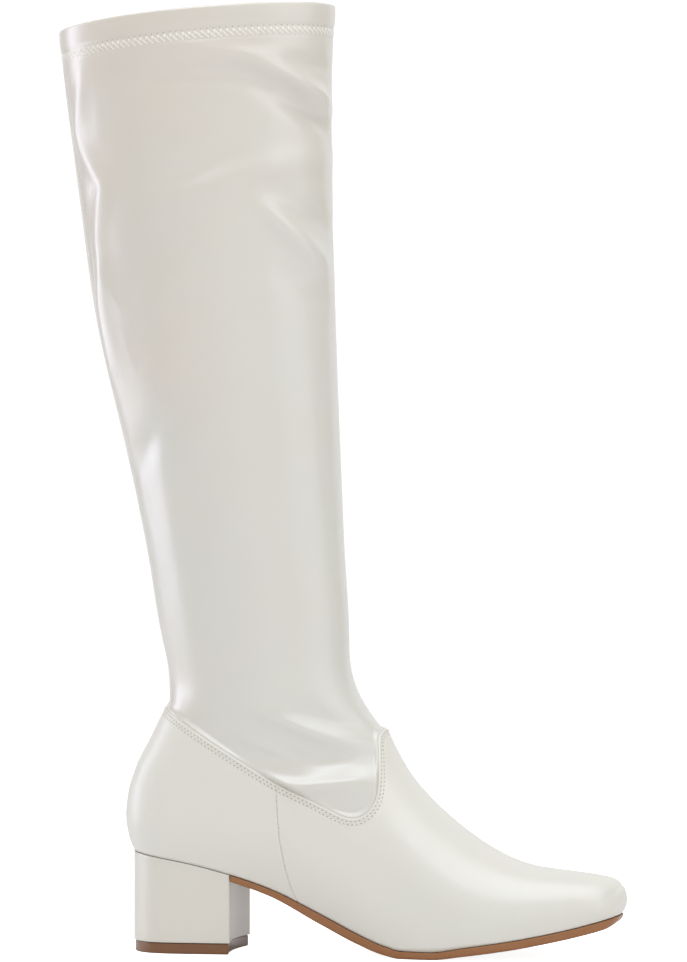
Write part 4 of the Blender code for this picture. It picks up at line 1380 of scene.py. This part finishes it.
# Two rows of stitches follow the top edge of the upper, each with its needle holes half a pitch on
edge_threads, edge_holes = [], []
for row_number, (path, up) in enumerate(edge_rows(STITCH_DEPTHS)):
    shift = 0.5 * row_number
    edge_threads.append(threads(*along_path(path, up, STITCH_PITCH, 0.25 + shift, True), *EDGE_THREAD))
    edge_holes.append(needle_holes(*along_path(path, up, STITCH_PITCH, 0.75 - shift, True), *EDGE_HOLE))
piece("edge_stitches", *join(edge_threads), [sewing_thread], "upper")
# The edge's needle holes are dark ovals of painted shade
piece("edge_needle_holes", *join(edge_holes), [painted_seam_shade], "upper")

# The seam down each side of the foot shows as a row of small sunk dashes of painted shade
side_dashes = []
for side in (-1, 1):
    path, up = side_seam_line(side)
    side_dashes.append(needle_holes(*along_path(path - DASH_SINK * up, up, SEAM_PITCH), *SIDE_DASH))
piece("side_seam_stitches", *join(side_dashes), [side_painted_shade], "upper")

# The hem is held by a zigzag between two rows of needle holes, with a knot at each upper turn
leg_normal = grid_normals(leg_face)
hem_lines = [leg_line(leg_face, leg_normal, leg_down, depth) for depth in HEM_STITCH_DEPTHS]
hem_places = [along_path(*line, HEM_STITCH_PITCH, 0.0, True) for line in hem_lines]
stitch_count = min(len(places[0]) for places in hem_places)
hem_places = [[part[:stitch_count] for part in places] for places in hem_places]
(top_at, _, hem_up, _), low_at = hem_places[0], hem_places[1][0]
drop = unit(low_at - top_at)
top_at = top_at + HEM_DROP * drop
hem_threads = []
for start, end, size in ((top_at, np.roll(low_at, -1, 0), HEM_SLANT), (low_at, top_at, HEM_CROSS),
                         (top_at, top_at + KNOT_LENGTH * drop, HEM_KNOT)):
    thread_place, thread_length = between(start, end, hem_up)
    hem_threads.append(threads(*thread_place, thread_length, *size))
piece("hem_stitches", *join(hem_threads), [sewing_thread], "shaft")
# The hem's needle holes are dark ovals of painted shade
hem_holes = [needle_holes(*places, *HEM_HOLE) for places in hem_places]
piece("hem_needle_holes", *join(hem_holes), [hole_shade], "shaft")

# The seam up the back of the leg stops short of the hem and of the upper's edge
seam_path, seam_up = seam_line(leg_face, leg_normal, leg_around, leg_up)
sewn_rows = leg_down[:, 0] > HEM_DEPTH + SEAM_END
sewn_rows &= leg_down[:, 0] < leg_down[TUCK_ROWS, 0] - SEAM_END
seam_places = along_path(seam_path[sewn_rows], seam_up[sewn_rows], STITCH_PITCH)
# The back seam's needle holes are dark ovals of painted shade
piece("back_seam_stitches", *needle_holes(*seam_places, *BACK_HOLE), [hole_shade], "shaft")

# Floor, light and camera
floor_mesh = bpy.data.meshes.new("studio_floor")
floor_mesh.from_pydata([(x, y, 0.0) for x, y in FLOOR_CORNERS], [], [(0, 1, 2, 3)])
studio_floor = bpy.data.objects.new("studio_floor", floor_mesh)
bpy.context.scene.collection.objects.link(studio_floor)
floor_look, floor_tree, floor_shader, _ = new_look("pale_floor", 0.7)
fill(floor_shader, Base_Color=(0.86, 0.86, 0.86, 1.0), Emission_Color=WHITE)
floor_seen, floor_glow = node(floor_tree, "LightPath"), node(floor_tree, "Math", operation="MULTIPLY")
floor_glow.inputs[1].default_value = FLOOR_GLOW
wire(floor_tree, (floor_seen, "Is Camera Ray", floor_glow, 0),
     (floor_glow, "Value", floor_shader, "Emission Strength"))
floor_mesh.materials.append(floor_look)

for light in LIGHTS:
    softbox(*light)

world = bpy.data.worlds.new("studio")
bpy.context.scene.world = world
world.use_nodes = True
sky = world.node_tree
backdrop = fill(sky.nodes["Background"], Color=(1.0, 0.985, 0.955, 1.0), Strength=0.45)
bright = node(sky, "Background", Color=WHITE, Strength=1.05)
seen, either = node(sky, "LightPath"), node(sky, "MixShader")
wire(sky, (seen, "Is Camera Ray", either, 0), (backdrop, 0, either, 1), (bright, 0, either, 2),
     (either, 0, sky.nodes["World Output"], "Surface"))

camera_data = bpy.data.cameras.new("camera")
camera_data.sensor_width = 36.0
camera_data.lens = VIEW_SCALE * VIEW_DISTANCE / IMAGE_HEIGHT * camera_data.sensor_width
camera_data.clip_end = 50.0
camera = bpy.data.objects.new("camera", camera_data)
away = np.array([math.sin(VIEW_TURN), -math.cos(VIEW_TURN), 0.0])
camera.location = (VIEW_TARGET - origin + VIEW_DISTANCE * away) * MM
camera.rotation_euler = (0.5 * math.pi, 0.0, VIEW_TURN)
bpy.context.scene.collection.objects.link(camera)
bpy.context.scene.camera = camera
bpy.context.scene.view_settings.view_transform = "Standard"
